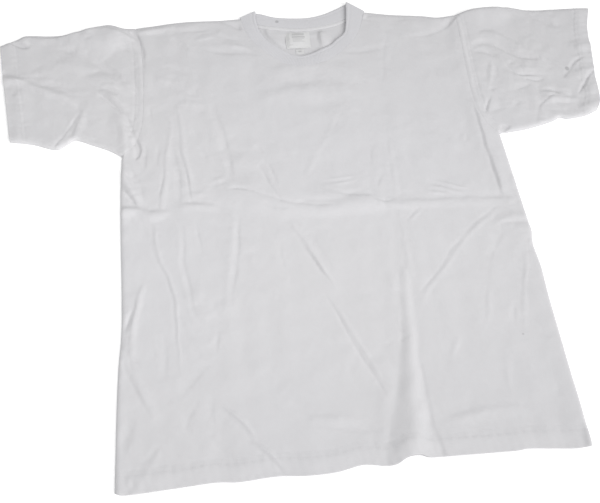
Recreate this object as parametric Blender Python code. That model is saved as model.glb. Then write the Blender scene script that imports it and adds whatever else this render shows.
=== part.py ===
"""A crew neck t-shirt of cotton jersey, laid flat on its back with its sleeves spread.

Metres, +Z up. X runs across the body, Y from the hem to the collar, and the floor is z = 0.
The tables are in millimetres on the floor, from the middle of the hem: "across" is X and "up"
is Y. Every cut piece is one closed solid, and neighbours stand a seam gap apart.
"""

import math
from collections import namedtuple

import bmesh
import bpy
import numpy as np
from mathutils import Vector, geometry

MM = 0.001

# Cloth and how its layers lie, in millimetres.
CLOTH = 1.0
RIB_CLOTH = 2.0
SEAM_GAP = 0.3
REST_TOP = 3.4
SEAM_TOP = 2.3
FOLD_EDGE_TOP = 1.3
ROLL_WIDTH = 5.0
PUFF_REACH = 24.0
PUFF_RISE = 1.3
HEM_DEPTH = 20.0
CUFF_DEPTH = 22.0
HEM_RISE = 0.5
HEM_STEP_HALF = 1.5

# Spacing of the mesh, in millimetres.
OUTLINE_STEP = 15.0
SLEEVE_STEP = 12.0
NECK_STEP = 5.0
RIB_STEP = 2.0
CREST_STEP = 12.0
FIELD_STEP = 26.0
ROW_INSETS = (2.2, 8.0)

# The body: how far each side stands from the middle, at heights up from the hem.
Side = namedtuple("Side", "up left right")
BODY_SIDES = [
    Side(0, 281, 283), Side(50, 281, 283), Side(93, 281, 282), Side(145, 280, 281.5),
    Side(190, 277.3, 281), Side(230, 277.8, 282), Side(247, 278.2, 281), Side(268, 279, 279.5),
    Side(289, 279.8, 282.5), Side(305, 280.5, 281.5), Side(350, 282, 279.5), Side(400, 283, 277.5),
    Side(453, 282.5, 275),
]

# Every other edge is a smooth curve through a few places.
At = namedtuple("At", "across up")
HEM = [
    At(-281, 0), At(-270, -3), At(-233, -2), At(-200, -0.5), At(-165, 1), At(-137, -1),
    At(-95, 1), At(-60, -1.5), At(-25, -1), At(4, 4), At(20, 3), At(34, 0.5), At(48, 1.5),
    At(62, 8), At(76, 9), At(90, 5), At(133, 4), At(190, 3), At(207, 4), At(235, 1.5),
    At(264, -1), At(283, 0),
]
ARMHOLE_LEFT = [
    At(-265, 700), At(-258, 672), At(-254, 640), At(-252, 600), At(-251, 560), At(-252, 522),
    At(-257, 492), At(-267, 470), At(-282, 457),
]
ARMHOLE_RIGHT = [
    At(253, 689), At(253, 660), At(252, 620), At(250, 580), At(249, 540), At(250, 505),
    At(256, 478), At(265, 461), At(276, 452),
]
SHOULDER_LEFT = [At(-97, 708), At(-130, 707), At(-190, 708), At(-240, 703), At(-265, 700)]
SHOULDER_RIGHT = [At(106, 707), At(150, 698), At(200, 691), At(225, 686), At(253, 689)]

SLEEVE_LEFT_TOP = [
    At(-265, 700), At(-285, 703), At(-303, 711), At(-318, 711), At(-345, 704), At(-375, 696),
    At(-405, 696), At(-438, 699), At(-450, 692), At(-476, 681),
]
SLEEVE_LEFT_CUFF = [At(-476, 681), At(-462, 600), At(-450, 530), At(-444, 496)]
SLEEVE_LEFT_UNDER = [
    At(-282, 457), At(-300, 469), At(-325, 481), At(-349, 491), At(-362, 484), At(-377, 477),
    At(-410, 489), At(-444, 496),
]
SLEEVE_RIGHT_TOP = [
    At(253, 689), At(275, 696), At(300, 700), At(325, 701), At(350, 698), At(375, 691),
    At(400, 689), At(440, 689), At(481, 688),
]
SLEEVE_RIGHT_CUFF = [
    At(481, 688), At(465, 638), At(457, 585), At(450, 545), At(445, 505), At(434, 482),
]
SLEEVE_RIGHT_UNDER = [
    At(276, 452), At(300, 454), At(325, 458), At(360, 467), At(373, 473), At(387, 470),
    At(415, 474), At(434, 482),
]

# The neckband is a ring pressed flat: a seam edge and a free edge, each with a front half and a
# back half that meet where the ring folds at the shoulders.
SEAM_FRONT = [
    At(-97, 708), At(-91, 682), At(-78, 654), At(-55, 627), At(-31, 608), At(-4, 600),
    At(30, 607), At(60, 627), At(86, 656), At(99, 684), At(106, 707),
]
SEAM_BACK = [
    At(-97, 708), At(-82, 699), At(-65, 693), At(-40, 687), At(0, 681), At(40, 685),
    At(68, 693), At(88, 701), At(106, 707),
]
FREE_FRONT = [
    At(-71, 719), At(-72, 700), At(-68, 680), At(-56, 658), At(-38, 641), At(-22, 628),
    At(-8, 622), At(8, 625), At(26, 633), At(42, 641), At(54, 652), At(68, 665), At(73, 685),
    At(76, 706), At(78, 728),
]
FREE_BACK = [
    At(-71, 719), At(-60, 716), At(-46, 710), At(-30, 706), At(0, 703), At(20, 704),
    At(40, 709), At(60, 718), At(78, 728),
]
RIBS = 180
RIB_RISE = 0.45
RIB_EDGE = 0.88
BAND_FRONT_MID = 2.4
BAND_SHOULDER_MID = 4.0
BAND_BACK_MID = 1.0
BAND_RISE_FROM = 0.22
BAND_RISE_TO = 0.42
FOLD_ARC_STEPS = 4

TAPE_REACH = 80.0
TAPE_WIDTH = 6.0
TAPE_DROP = 0.6
LABEL_LOW, LABEL_HIGH = At(-27, 640), At(12, 673.4)
TAB_LOW, TAB_HIGH = At(-13, 628), At(0, 639.7)
LABEL_BOW = 0.9

# Folds in the upper layer. Each is a ridge along a smooth line through its rows. "half" is how
# far its foot lies from its crest and "rise" is how high it stands at that row, all in mm.
Row = namedtuple("Row", "across up half rise")
FRONT_FOLDS = {
    "waist, left edge": [Row(-284, 372, 10, 2), Row(-237, 364, 9, 2.6), Row(-200, 372, 8, 0)],
    "waist, left": [Row(-205, 377, 7, 0), Row(-180, 374, 8, 2), Row(-150, 370, 7, 0)],
    "waist, middle": [
        Row(-128, 388, 8, 0), Row(-98, 377, 10, 3.4), Row(-58, 361, 11, 3.8),
        Row(0, 348, 13, 4), Row(50, 348, 11, 2.5), Row(78, 346, 9, 0),
    ],
    "waist, above the middle": [Row(-5, 374, 7, 0), Row(40, 365, 8, 2.6), Row(76, 358, 7, 0)],
    "waist, right": [Row(82, 349, 8, 0), Row(120, 344, 9, 2.6), Row(190, 343, 9, 2.8),
                     Row(262, 339, 8, 0)],
    "waist, ripples right": [Row(130, 374, 6, 0), Row(165, 364, 7, 1.6), Row(205, 355, 6, 0)],
    "long line": [Row(108, 490, 6, 0), Row(105, 400, 8, 1.5), Row(103, 300, 9, 2.4),
                  Row(102, 240, 10, 3)],
    "hem fold": [Row(102, 244, 10, 3), Row(96, 180, 12, 4.4), Row(90, 110, 14, 6.2),
                 Row(85, 55, 17, 8.8), Row(81, -12, 21, 12)],
    "left of the hem fold": [Row(80, 250, 10, 0), Row(68, 160, 14, 1.6), Row(50, 90, 14, 1.8),
                             Row(32, 30, 14, 1.4), Row(28, -10, 14, 1)],
    "right side strip": [Row(258, 500, 10, 0), Row(261, 450, 11, 3), Row(265, 390, 11, 3),
                         Row(269, 345, 10, 0)],
    "beside the strip": [Row(236, 520, 12, 0), Row(233, 455, 13, 2.4), Row(238, 390, 12, 0)],
    "middle diagonal": [Row(-52, 338, 8, 0), Row(-33, 302, 9, 2.4), Row(-10, 252, 8, 2),
                        Row(4, 215, 7, 0)],
    "lower diagonal": [Row(-4, 222, 6, 0), Row(18, 176, 7, 1.8), Row(40, 124, 7, 1.6),
                       Row(56, 84, 6, 0)],
    "right arc": [Row(106, 192, 7, 0), Row(132, 217, 9, 2.2), Row(158, 252, 9, 2.6),
                  Row(186, 281, 9, 2.4), Row(214, 301, 9, 1.8), Row(246, 318, 8, 0)],
    "left upright, inner": [Row(-195, 545, 7, 0), Row(-194, 480, 9, 2), Row(-187, 425, 9, 2.6),
                            Row(-178, 378, 8, 0)],
    "left upright, outer": [Row(-211, 520, 7, 0), Row(-215, 450, 8, 1.8), Row(-221, 384, 8, 1.8),
                            Row(-226, 345, 7, 0)],
    "left, to the hem": [Row(-236, 352, 7, 0), Row(-231, 296, 8, 2.2), Row(-214, 228, 8, 2.6),
                         Row(-203, 165, 8, 2), Row(-204, 118, 7, 0)],
    "left, second": [Row(-200, 345, 7, 0), Row(-197, 275, 8, 1.8), Row(-184, 212, 8, 1.8),
                     Row(-170, 165, 7, 0)],
    "left, third": [Row(-124, 396, 7, 0), Row(-121, 340, 8, 1.8), Row(-133, 265, 8, 1.6),
                    Row(-143, 190, 7, 0)],
    "left edge, high": [Row(-281, 432, 8, 0), Row(-268, 402, 10, 2.4), Row(-255, 382, 9, 0)],
    "left edge, middle": [Row(-250, 262, 7, 0), Row(-259, 212, 9, 2.8), Row(-266, 170, 8, 2),
                          Row(-264, 140, 7, 0)],
    "left edge, low": [Row(-264, 142, 7, 0), Row(-247, 108, 8, 2), Row(-228, 80, 7, 0)],
    "left, cup": [Row(-203, 185, 7, 0), Row(-186, 150, 8, 1.8), Row(-163, 150, 7, 1.4),
                  Row(-150, 176, 6, 0)],
    "low diagonal, upper": [Row(-155, 94, 6, 0), Row(-130, 76, 7, 1.8), Row(-108, 46, 6, 0)],
    "low diagonal, lower": [Row(-124, 49, 6, 0), Row(-98, 35, 7, 2), Row(-76, 8, 6, 0)],
    "left corner": [Row(-228, 46, 7, 0), Row(-246, 26, 8, 1.6), Row(-264, -4, 8, 1.2)],
    "right edge, high": [Row(228, 305, 7, 0), Row(255, 313, 8, 2.2), Row(284, 307, 8, 1.6)],
    "right edge, low": [Row(277, 282, 7, 0), Row(265, 232, 9, 2.6), Row(252, 165, 8, 0)],
    "right shoulder": [Row(158, 664, 12, 0), Row(198, 663, 16, 2.8), Row(232, 674, 14, 2.2),
                       Row(252, 690, 10, 0)],
    "left shoulder, high": [Row(-205, 692, 8, 0), Row(-180, 694, 10, 1.8), Row(-150, 697, 8, 0)],
    "left shoulder": [Row(-172, 672, 9, 0), Row(-142, 673, 12, 2.2), Row(-104, 663, 10, 0)],
    "left collarbone": [Row(-160, 650, 8, 0), Row(-118, 648, 10, 1.6), Row(-82, 640, 8, 0)],
    "chest": [Row(-95, 534, 16, 0), Row(-30, 544, 24, 1.5), Row(40, 546, 24, 1.5),
              Row(90, 522, 16, 0)],
    "under the neck": [Row(-45, 583, 12, 0), Row(0, 587, 16, 1.3), Row(55, 586, 12, 0)],
}
SLEEVE_FOLDS = {
    "left sleeve, middle": [Row(-456, 604, 8, 0), Row(-420, 592, 11, 3.2), Row(-378, 571, 11, 3.4),
                            Row(-342, 546, 8, 0)],
    "left sleeve, upper": [Row(-385, 674, 9, 0), Row(-342, 668, 12, 3), Row(-306, 649, 12, 3),
                           Row(-280, 622, 10, 2.2), Row(-264, 600, 8, 0)],
    "left sleeve, seam": [Row(-320, 580, 6, 0), Row(-297, 563, 8, 2.2), Row(-270, 540, 7, 0)],
    "left underarm": [Row(-350, 556, 8, 0), Row(-357, 522, 13, 3.8), Row(-361, 490, 13, 3)],
    "left sleeve, top": [Row(-440, 690, 6, 0), Row(-390, 687, 8, 1.8), Row(-335, 690, 6, 0)],
    "left sleeve, cap": [Row(-308, 694, 7, 0), Row(-285, 680, 9, 2), Row(-264, 662, 7, 0)],
    "left armpit": [Row(-286, 535, 8, 0), Row(-279, 500, 10, 3), Row(-273, 468, 9, 2)],
    "left cuff": [Row(-462, 612, 7, 1.2), Row(-440, 610, 8, 1.6), Row(-415, 612, 6, 0)],
    "right sleeve, long": [Row(262, 638, 8, 0), Row(298, 641, 12, 3), Row(332, 622, 12, 3.4),
                           Row(356, 606, 11, 2.6), Row(384, 590, 10, 2.6), Row(404, 566, 8, 0)],
    "right sleeve, cuff": [Row(400, 545, 8, 0), Row(424, 556, 11, 2.8), Row(456, 568, 10, 1.8)],
    "right sleeve, low cuff": [Row(408, 500, 7, 0), Row(430, 519, 10, 2.8), Row(450, 542, 8, 1.4)],
    "right sleeve, low": [Row(350, 498, 7, 0), Row(382, 506, 9, 2.8), Row(416, 500, 7, 0)],
    "right sleeve, fan upper": [Row(308, 590, 6, 0), Row(336, 568, 8, 2.2), Row(388, 560, 6, 0)],
    "right sleeve, fan lower": [Row(352, 535, 6, 0), Row(380, 529, 8, 2.2), Row(412, 514, 6, 0)],
    "right sleeve, by the seam": [Row(280, 546, 6, 0), Row(289, 572, 9, 2.6), Row(300, 600, 7, 0)],
    "right underarm": [Row(358, 520, 7, 0), Row(342, 496, 10, 2.2), Row(330, 464, 9, 2)],
    "right sleeve, top": [Row(362, 684, 7, 0), Row(390, 664, 11, 2), Row(410, 636, 8, 0)],
}
FOLDS = {**FRONT_FOLDS, **SLEEVE_FOLDS}

Finish = namedtuple("Finish", "colour roughness")
FINISHES = {
    "jersey": Finish((0.68, 0.68, 0.70), 0.95),
    "rib": Finish((0.67, 0.67, 0.695), 0.95),
    "tape": Finish((0.72, 0.72, 0.735), 0.9),
    "woven label": Finish((0.78, 0.78, 0.78), 0.6),
    "size tab": Finish((0.80, 0.80, 0.80), 0.6),
}


# Curves on the floor.

def smooth_curve(rows, step):
    """Points about a step apart on a smooth curve through the rows, all their columns with it."""
    rows = np.array(rows, float)
    ends = np.vstack([2 * rows[0] - rows[1], rows, 2 * rows[-1] - rows[-2]])
    dense = []
    for i in range(1, len(ends) - 2):
        a, b, c, d = ends[i - 1:i + 3]
        for t in np.linspace(0, 1, 24, endpoint=False):
            dense.append(0.5 * (2 * b + (c - a) * t + (2 * a - 5 * b + 4 * c - d) * t**2
                                + (3 * b - a - 3 * c + d) * t**3))
    dense.append(rows[-1])
    dense = np.array(dense)
    run = np.r_[0, np.cumsum(np.hypot(*np.diff(dense[:, :2], axis=0).T))]
    stops = np.linspace(0, run[-1], max(2, round(run[-1] / step) + 1))
    return np.array([np.interp(stops, run, column) for column in dense.T]).T


def line_length(rows):
    return np.hypot(*np.diff(smooth_curve(rows, RIB_STEP), axis=0).T).sum()


def moved_aside(line, distance):
    """The line moved to its left by a distance."""
    ahead = np.gradient(line, axis=0)
    ahead /= np.hypot(*ahead.T)[:, None]
    return line + distance * np.stack([-ahead[:, 1], ahead[:, 0]], axis=1)


def side_line(column):
    sign = -1 if column == "left" else 1
    return smooth_curve([(sign * getattr(row, column), row.up) for row in BODY_SIDES],
                        OUTLINE_STEP)


def joined(*lines):
    """One closed outline from lines that follow each other, without the doubled corners."""
    points = []
    for line in lines:
        for point in line:
            if not points or np.hypot(*(point - points[-1])) > 1e-6:
                points.append(point)
    if np.hypot(*(points[0] - points[-1])) < 1e-6:
        points.pop()
    return np.array(points)


def distance_to(points, line, closed=False):
    """How far each point lies from a line, and the fraction of a segment and its number there."""
    line = np.asarray(line)[:, :2]
    starts, ends = line[:-1], line[1:]
    if closed:
        starts, ends = line, np.roll(line, -1, axis=0)
    runs = ends - starts
    reach = points[:, None, :] - starts[None]
    part = np.clip((reach * runs).sum(2) / (runs**2).sum(1), 0, 1)
    away = np.hypot(*np.moveaxis(reach - part[..., None] * runs, 2, 0))
    nearest = away.argmin(axis=1)
    each = np.arange(len(points))
    return away[each, nearest], part[each, nearest], nearest


def inside(points, outline):
    """Which points lie inside a closed outline."""
    x, y = points[:, :1], points[:, 1:]
    x0, y0 = outline.T
    x1, y1 = np.roll(outline, -1, axis=0).T
    rise = np.where(y1 == y0, 1, y1 - y0)
    crossed = ((y0 > y) != (y1 > y)) & (x < (x1 - x0) * (y - y0) / rise + x0)
    return crossed.sum(axis=1) % 2 == 1


# Heights of the upper layer.

FOLD_LINES = {name: smooth_curve(rows, CREST_STEP) for name, rows in FOLDS.items()}


def fold_rise(points):
    """How high the folds lift the cloth at each point: the highest ridge that reaches it."""
    highest = np.zeros(len(points))
    for line in FOLD_LINES.values():
        away, part, number = distance_to(points, line)
        half, rise = (line[number, 2:] + part[:, None] * np.diff(line, axis=0)[number, 2:]).T
        bell = 0.5 + 0.5 * np.cos(np.pi * np.minimum(away / half, 1))
        highest = np.maximum(highest, rise * bell)
    return highest


def smooth_step(value):
    value = np.clip(value, 0, 1)
    return value**2 * (3 - 2 * value)


def upper_height(points, rolled_edges, edge_top):
    """The outer height of the upper layer, which rolls down to its seam or fold at its edges."""
    away = np.min([distance_to(points, line)[0] for line in rolled_edges], axis=0)
    roll = np.sqrt(np.clip(1 - (1 - away / ROLL_WIDTH)**2, 0, 1))
    roll[away > ROLL_WIDTH] = 1
    puff = PUFF_RISE * smooth_step(away / ROLL_WIDTH) * (1 - smooth_step(away / PUFF_REACH))
    resting = REST_TOP + puff + fold_rise(points)
    return edge_top + (resting - edge_top) * roll


# Meshes.

def kept_apart(candidates, kept, least):
    """The candidates that stay at least that far from the kept points and from each other."""
    kept = list(kept)
    for point in candidates:
        if np.hypot(*(np.array(kept) - point).T).min() >= least:
            kept.append(point)
    return kept


def field_points(outline):
    """An even field of points, in rows set half a step aside."""
    low, high = outline.min(axis=0), outline.max(axis=0)
    points = []
    for row, up in enumerate(np.arange(low[1], high[1], FIELD_STEP * math.sqrt(3) / 2)):
        start = low[0] + (row % 2) * FIELD_STEP / 2
        points += [(across, up) for across in np.arange(start, high[0], FIELD_STEP)]
    return np.array(points)


def sheet_points(outline, rolled_edges, with_folds, extra_rows=()):
    """Inner points of a sheet: rows along its rolled edges, folds with their feet, and a field."""
    def within(points, margin):
        points = np.asarray(points)
        clear = distance_to(points, outline, closed=True)[0] > margin
        return points[inside(points, outline) & clear]

    kept = [outline[0]]
    for inset in ROW_INSETS:
        for line in rolled_edges:
            both = np.vstack([moved_aside(line, inset), moved_aside(line, -inset)])
            kept = kept_apart(within(both, inset * 0.9), kept, ROW_INSETS[0])
    for row in extra_rows:
        kept = kept_apart(within(row, 2.0), kept, 2.0)
    if with_folds:
        for line in FOLD_LINES.values():
            kept = kept_apart(within(line[:, :2], 2.2), kept, 3.5)
        for line in FOLD_LINES.values():
            crest, half = line[:, :2], line[:, 2:3]
            for side in (-1, 1):
                feet = crest + side * half * (moved_aside(crest, 1) - crest)
                kept = kept_apart(within(feet, 4.0), kept, 5.0)
    kept = kept_apart(within(field_points(outline), FIELD_STEP * 0.3), kept, FIELD_STEP * 0.55)
    return np.array(kept[1:])


def flat_mesh(outline, points):
    """Triangles that fill an outline through the points, facing up."""
    both = np.vstack([outline, points]) if len(points) else outline
    ring = [list(range(len(outline)))]
    places, _, faces, *_ = geometry.delaunay_2d_cdt(
        [Vector(p) for p in both], [], ring, 1, 1e-6)
    places = np.array([tuple(p) for p in places])
    upward = []
    for a, b, c in faces:
        (ux, uy), (vx, vy) = places[b] - places[a], places[c] - places[a]
        upward.append((a, b, c) if ux * vy > uy * vx else (a, c, b))
    return places, upward


def object_from(name, places, faces, finish):
    """A mesh object from places in millimetres, with its own material."""
    mesh = bpy.data.meshes.new(name)
    mesh.from_pydata([Vector(p) * MM for p in places], [], faces)
    mesh.shade_smooth()
    mesh.set_sharp_from_angle(angle=math.radians(50))
    material = bpy.data.materials.new(name)
    material.use_nodes = True
    shader = material.node_tree.nodes["Principled BSDF"]
    shader.inputs["Base Color"].default_value = (*FINISHES[finish].colour, 1)
    shader.inputs["Roughness"].default_value = FINISHES[finish].roughness
    mesh.materials.append(material)
    obj = bpy.data.objects.new(name, mesh)
    bpy.context.scene.collection.objects.link(obj)
    return obj


def walled(name, places, faces, finish):
    """A closed wall: the outer skin, the same skin moved in by the cloth's thickness, and rims."""
    skin = bmesh.new()
    verts = [skin.verts.new(p) for p in places]
    for face in faces:
        skin.faces.new([verts[i] for i in face])
    skin.normal_update()
    skin.verts.index_update()
    count = len(verts)
    outer = [tuple(v.co) for v in skin.verts]
    inner = [tuple(v.co - v.normal * CLOTH) for v in skin.verts]
    solid_faces = [tuple(face) for face in faces]
    solid_faces += [tuple(i + count for i in reversed(face)) for face in faces]
    for edge in skin.edges:
        if len(edge.link_loops) == 1:
            loop = edge.link_loops[0]
            a, b = loop.vert.index, loop.link_loop_next.vert.index
            solid_faces += [(b, a, a + count), (b, a + count, b + count)]
    skin.free()
    return object_from(name, outer + inner, solid_faces, finish)


def prism(name, low_line, high_line, bottom, bow, finish):
    """A thin strip between two lines of equal length, its top bowed up along its middle."""
    count = len(low_line)
    middle = (low_line + high_line) / 2
    rails = [low_line, middle, high_line]
    tops = [bottom + CLOTH, bottom + CLOTH + bow, bottom + CLOTH]
    places = [(*p, top) for rail, top in zip(rails, tops) for p in rail]
    places += [(*p, top - CLOTH) for rail, top in zip(rails, tops) for p in rail]
    faces = []
    below = 3 * count
    for rail in range(2):
        for i in range(count - 1):
            a, b = rail * count + i, rail * count + i + 1
            c, d = b + count, a + count
            faces += [(a, b, c, d), (d + below, c + below, b + below, a + below)]
    for i in range(count - 1):
        high = 2 * count + i
        faces += [(i + 1, i, i + below, i + 1 + below),
                  (high, high + 1, high + 1 + below, high + below)]
    for rail in range(2):
        first, last = rail * count, rail * count + count - 1
        faces += [(first, first + count, first + count + below, first + below),
                  (last + count, last, last + below, last + count + below)]
    return object_from(name, places, faces, finish)


# The cut pieces.

def armhole_edge(rows, side):
    """One side of an armhole seam: +1 is the side towards +X of the seam."""
    return moved_aside(smooth_curve(rows, OUTLINE_STEP), side * SEAM_GAP / 2)


def body_outline(neck):
    """A body panel's outline, anticlockwise from the left armpit, and its rolled edges."""
    left, right = side_line("left"), side_line("right")
    hem = smooth_curve(HEM, OUTLINE_STEP)
    shoulder_left = smooth_curve(SHOULDER_LEFT, OUTLINE_STEP)
    shoulder_right = smooth_curve(SHOULDER_RIGHT, OUTLINE_STEP)
    inset_left, inset_right = armhole_edge(ARMHOLE_LEFT, 1), armhole_edge(ARMHOLE_RIGHT, -1)
    neck_line = moved_aside(smooth_curve(neck, NECK_STEP), -SEAM_GAP)
    hem[0], hem[-1] = left[0], right[0]
    left[-1], right[-1] = inset_left[-1], inset_right[-1]
    shoulder_left[-1], shoulder_right[-1] = inset_left[0], inset_right[0]
    shoulder_left[0], shoulder_right[0] = neck_line[0], neck_line[-1]
    outline = joined(left[::-1], hem, right, inset_right[::-1], shoulder_right[::-1],
                     neck_line[::-1], shoulder_left, inset_left)
    return outline, [left, right, shoulder_left, shoulder_right]


def make_front():
    """The front panel: hem double near its edge, folds raised, sides and shoulders rolled down."""
    outline, rolled = body_outline(SEAM_FRONT)
    hem = smooth_curve(HEM, OUTLINE_STEP)
    rows = [hem + (0, HEM_DEPTH - HEM_STEP_HALF), hem + (0, HEM_DEPTH + HEM_STEP_HALF)]
    places, faces = flat_mesh(outline, sheet_points(outline, rolled, True, rows))
    height = upper_height(places, rolled, SEAM_TOP)
    over_hem = places[:, 1] - np.interp(places[:, 0], *np.array(HEM).T)
    height += HEM_RISE * (over_hem < HEM_DEPTH)
    return walled("front_panel", np.column_stack([places, height]), faces, "jersey")


def make_back():
    """The back panel, which lies flat on the floor."""
    outline, _ = body_outline(SEAM_BACK)
    places, faces = flat_mesh(outline, [])
    return walled("back_panel", np.column_stack([places, np.full(len(places), CLOTH)]), faces,
                  "jersey")


def make_sleeve(name, armhole, top, cuff, under, side):
    """A sleeve: a tube pressed flat, its upper layer folded and its lower layer on the floor."""
    armhole = armhole_edge(armhole, side)
    top, under, cuff = (smooth_curve(rows, SLEEVE_STEP) for rows in (top, under, cuff))
    top[0], under[0] = armhole[0], armhole[-1]
    around = joined(armhole, under, cuff[::-1], top[::-1])
    rolled = [top, under]
    on_fold = np.min([distance_to(around, line)[0] for line in rolled], axis=0) < 1e-6

    rows = [moved_aside(cuff, -side * (CUFF_DEPTH + more))
            for more in (-HEM_STEP_HALF, HEM_STEP_HALF)]
    upper, upper_faces = flat_mesh(around, sheet_points(around, rolled, True, rows))
    lower, lower_faces = flat_mesh(around, sheet_points(around, rolled, False))
    height = upper_height(upper, rolled, FOLD_EDGE_TOP)
    from_fold = np.min([distance_to(upper, line)[0] for line in rolled], axis=0)
    height += HEM_RISE * ((distance_to(upper, cuff)[0] < CUFF_DEPTH) & (from_fold > HEM_STEP_HALF))
    places = list(np.column_stack([upper, height]))
    number = []
    for i, point in enumerate(lower):
        if i < len(around) and on_fold[i]:
            number.append(i)
        else:
            number.append(len(places))
            places.append((*point, 0.0))
    faces = upper_faces + [tuple(number[i] for i in reversed(face)) for face in lower_faces]
    return walled(name, places, faces, "jersey")


def half_ring(rows, mid_heights, count):
    """A half of the band's edge, as evenly spread places with their heights."""
    line = smooth_curve(rows, RIB_STEP)
    run = np.r_[0, np.cumsum(np.hypot(*np.diff(line, axis=0).T))]
    stops = np.linspace(0, 1, count)
    flat = np.array([np.interp(stops * run[-1], run, column) for column in line.T]).T
    return np.column_stack([flat, mid_heights(flat, stops)])


def front_band_height(points, stops):
    """The band's middle height on the front, which climbs towards the shoulders."""
    from_middle = np.abs(stops - 0.5)
    climb = smooth_step((from_middle - BAND_RISE_FROM) / (BAND_RISE_TO - BAND_RISE_FROM))
    return BAND_FRONT_MID + (BAND_SHOULDER_MID - BAND_FRONT_MID) * climb + fold_rise(points)


def back_band_height(points, stops):
    return np.full(len(points), BAND_BACK_MID)


def band_edge(front_rows, back_rows, fold_left, fold_right, front_count, back_count):
    """One closed edge of the band: front half, fold, back half and fold."""
    front = half_ring(front_rows, front_band_height, front_count)
    back = half_ring(back_rows, back_band_height, back_count)[::-1]
    radius = (BAND_SHOULDER_MID - BAND_BACK_MID) / 2
    centre_height = BAND_BACK_MID + radius

    def fold(tip, outward, turn):
        places = []
        for i in range(1, FOLD_ARC_STEPS):
            angle = math.pi * i / FOLD_ARC_STEPS
            out = radius * math.sin(angle)
            places.append((*(tip + outward * out), centre_height + turn * radius * math.cos(angle)))
        return places

    right = fold(front[-1, :2], fold_right, 1)
    left = fold(front[0, :2], fold_left, -1)
    return np.vstack([front, right, back, left])


def make_neckband():
    """The rib band: a ring pressed flat, ribs raised on the face that shows, the other plain."""
    across_left = np.subtract(FREE_FRONT[0], SEAM_FRONT[0])
    across_right = np.subtract(FREE_FRONT[-1], SEAM_FRONT[-1])
    fold_left = np.array([-across_left[1], across_left[0]]) / np.hypot(*across_left)
    fold_right = np.array([across_right[1], -across_right[0]]) / np.hypot(*across_right)
    front_length, back_length = line_length(SEAM_FRONT), line_length(SEAM_BACK)
    front_count = 2 * round(RIBS * front_length / (front_length + back_length))
    back_count = 2 * RIBS - front_count
    seam = band_edge(SEAM_FRONT, SEAM_BACK, fold_left, fold_right, front_count, back_count)
    free = band_edge(FREE_FRONT, FREE_BACK, fold_left, fold_right, front_count, back_count)
    stations = len(seam)

    around = np.roll(seam, -1, axis=0) - np.roll(seam, 1, axis=0)
    around += np.roll(free, -1, axis=0) - np.roll(free, 1, axis=0)
    outward = np.cross(around, free - seam)
    outward /= np.linalg.norm(outward, axis=1)[:, None]

    plain = RIB_CLOTH / 2
    ribbed = plain + RIB_RISE * (np.arange(stations) % 2 - 0.5)
    back_from = front_count + FOLD_ARC_STEPS - 1
    outside = np.full(stations, plain)
    outside[:front_count] = ribbed[:front_count]
    within = np.full(stations, plain)
    within[back_from:back_from + back_count] = ribbed[back_from:back_from + back_count]

    near_free = seam + RIB_EDGE * (free - seam)
    rails = [
        seam + outward * outside[:, None],
        near_free + outward * outside[:, None],
        free,
        near_free - outward * within[:, None],
        seam - outward * within[:, None],
    ]
    faces = []
    for rail in range(len(rails)):
        for i in range(stations):
            j, other = (i + 1) % stations, (rail + 1) % len(rails)
            faces.append((rail * stations + i, rail * stations + j,
                          other * stations + j, other * stations + i))
    return object_from("neckband", np.vstack(rails), faces, "rib")


def make_neck_tape():
    """The strip that covers the back neck seam, on the inside of the back panel."""
    line = smooth_curve(SEAM_BACK, 8.0)
    line = line[np.abs(line[:, 0] - np.mean([SEAM_BACK[0].across, SEAM_BACK[-1].across]))
                < TAPE_REACH]
    high = moved_aside(line, -SEAM_GAP - TAPE_DROP)
    low = moved_aside(line, -SEAM_GAP - TAPE_DROP - TAPE_WIDTH)
    return prism("neck_tape", low, high, CLOTH + SEAM_GAP, 0.0, "tape")


def make_label(name, low, high, bow, finish):
    """A small woven label on the inside of the back panel."""
    across = np.linspace(low.across, high.across, 5)
    bottom = np.column_stack([across, np.full(5, low.up)])
    top = np.column_stack([across, np.full(5, high.up)])
    return prism(name, bottom, top, CLOTH + SEAM_GAP, bow, finish)


def centre_on_floor(objects):
    """Moves every mesh so that the middle of the whole underside is the origin."""
    corners = np.array([v.co for obj in objects for v in obj.data.vertices])
    low, high = corners.min(axis=0), corners.max(axis=0)
    shift = Vector((-(low[0] + high[0]) / 2, -(low[1] + high[1]) / 2, -low[2]))
    for obj in objects:
        for vertex in obj.data.vertices:
            vertex.co += shift
    print("origin moved by", [round(value, 5) for value in shift])


def main():
    for obj in list(bpy.data.objects):
        bpy.data.objects.remove(obj)
    pieces = [
        make_back(),
        make_front(),
        make_sleeve("sleeve_left", ARMHOLE_LEFT, SLEEVE_LEFT_TOP, SLEEVE_LEFT_CUFF,
                    SLEEVE_LEFT_UNDER, -1),
        make_sleeve("sleeve_right", ARMHOLE_RIGHT, SLEEVE_RIGHT_TOP, SLEEVE_RIGHT_CUFF,
                    SLEEVE_RIGHT_UNDER, 1),
        make_neckband(),
        make_neck_tape(),
        make_label("label", LABEL_LOW, LABEL_HIGH, LABEL_BOW, "woven label"),
        make_label("size_tab", TAB_LOW, TAB_HIGH, 0.3, "size tab"),
    ]
    centre_on_floor(pieces)


main()
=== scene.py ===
import math

import bpy
import numpy as np
from mathutils import Matrix, Vector, geometry


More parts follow.
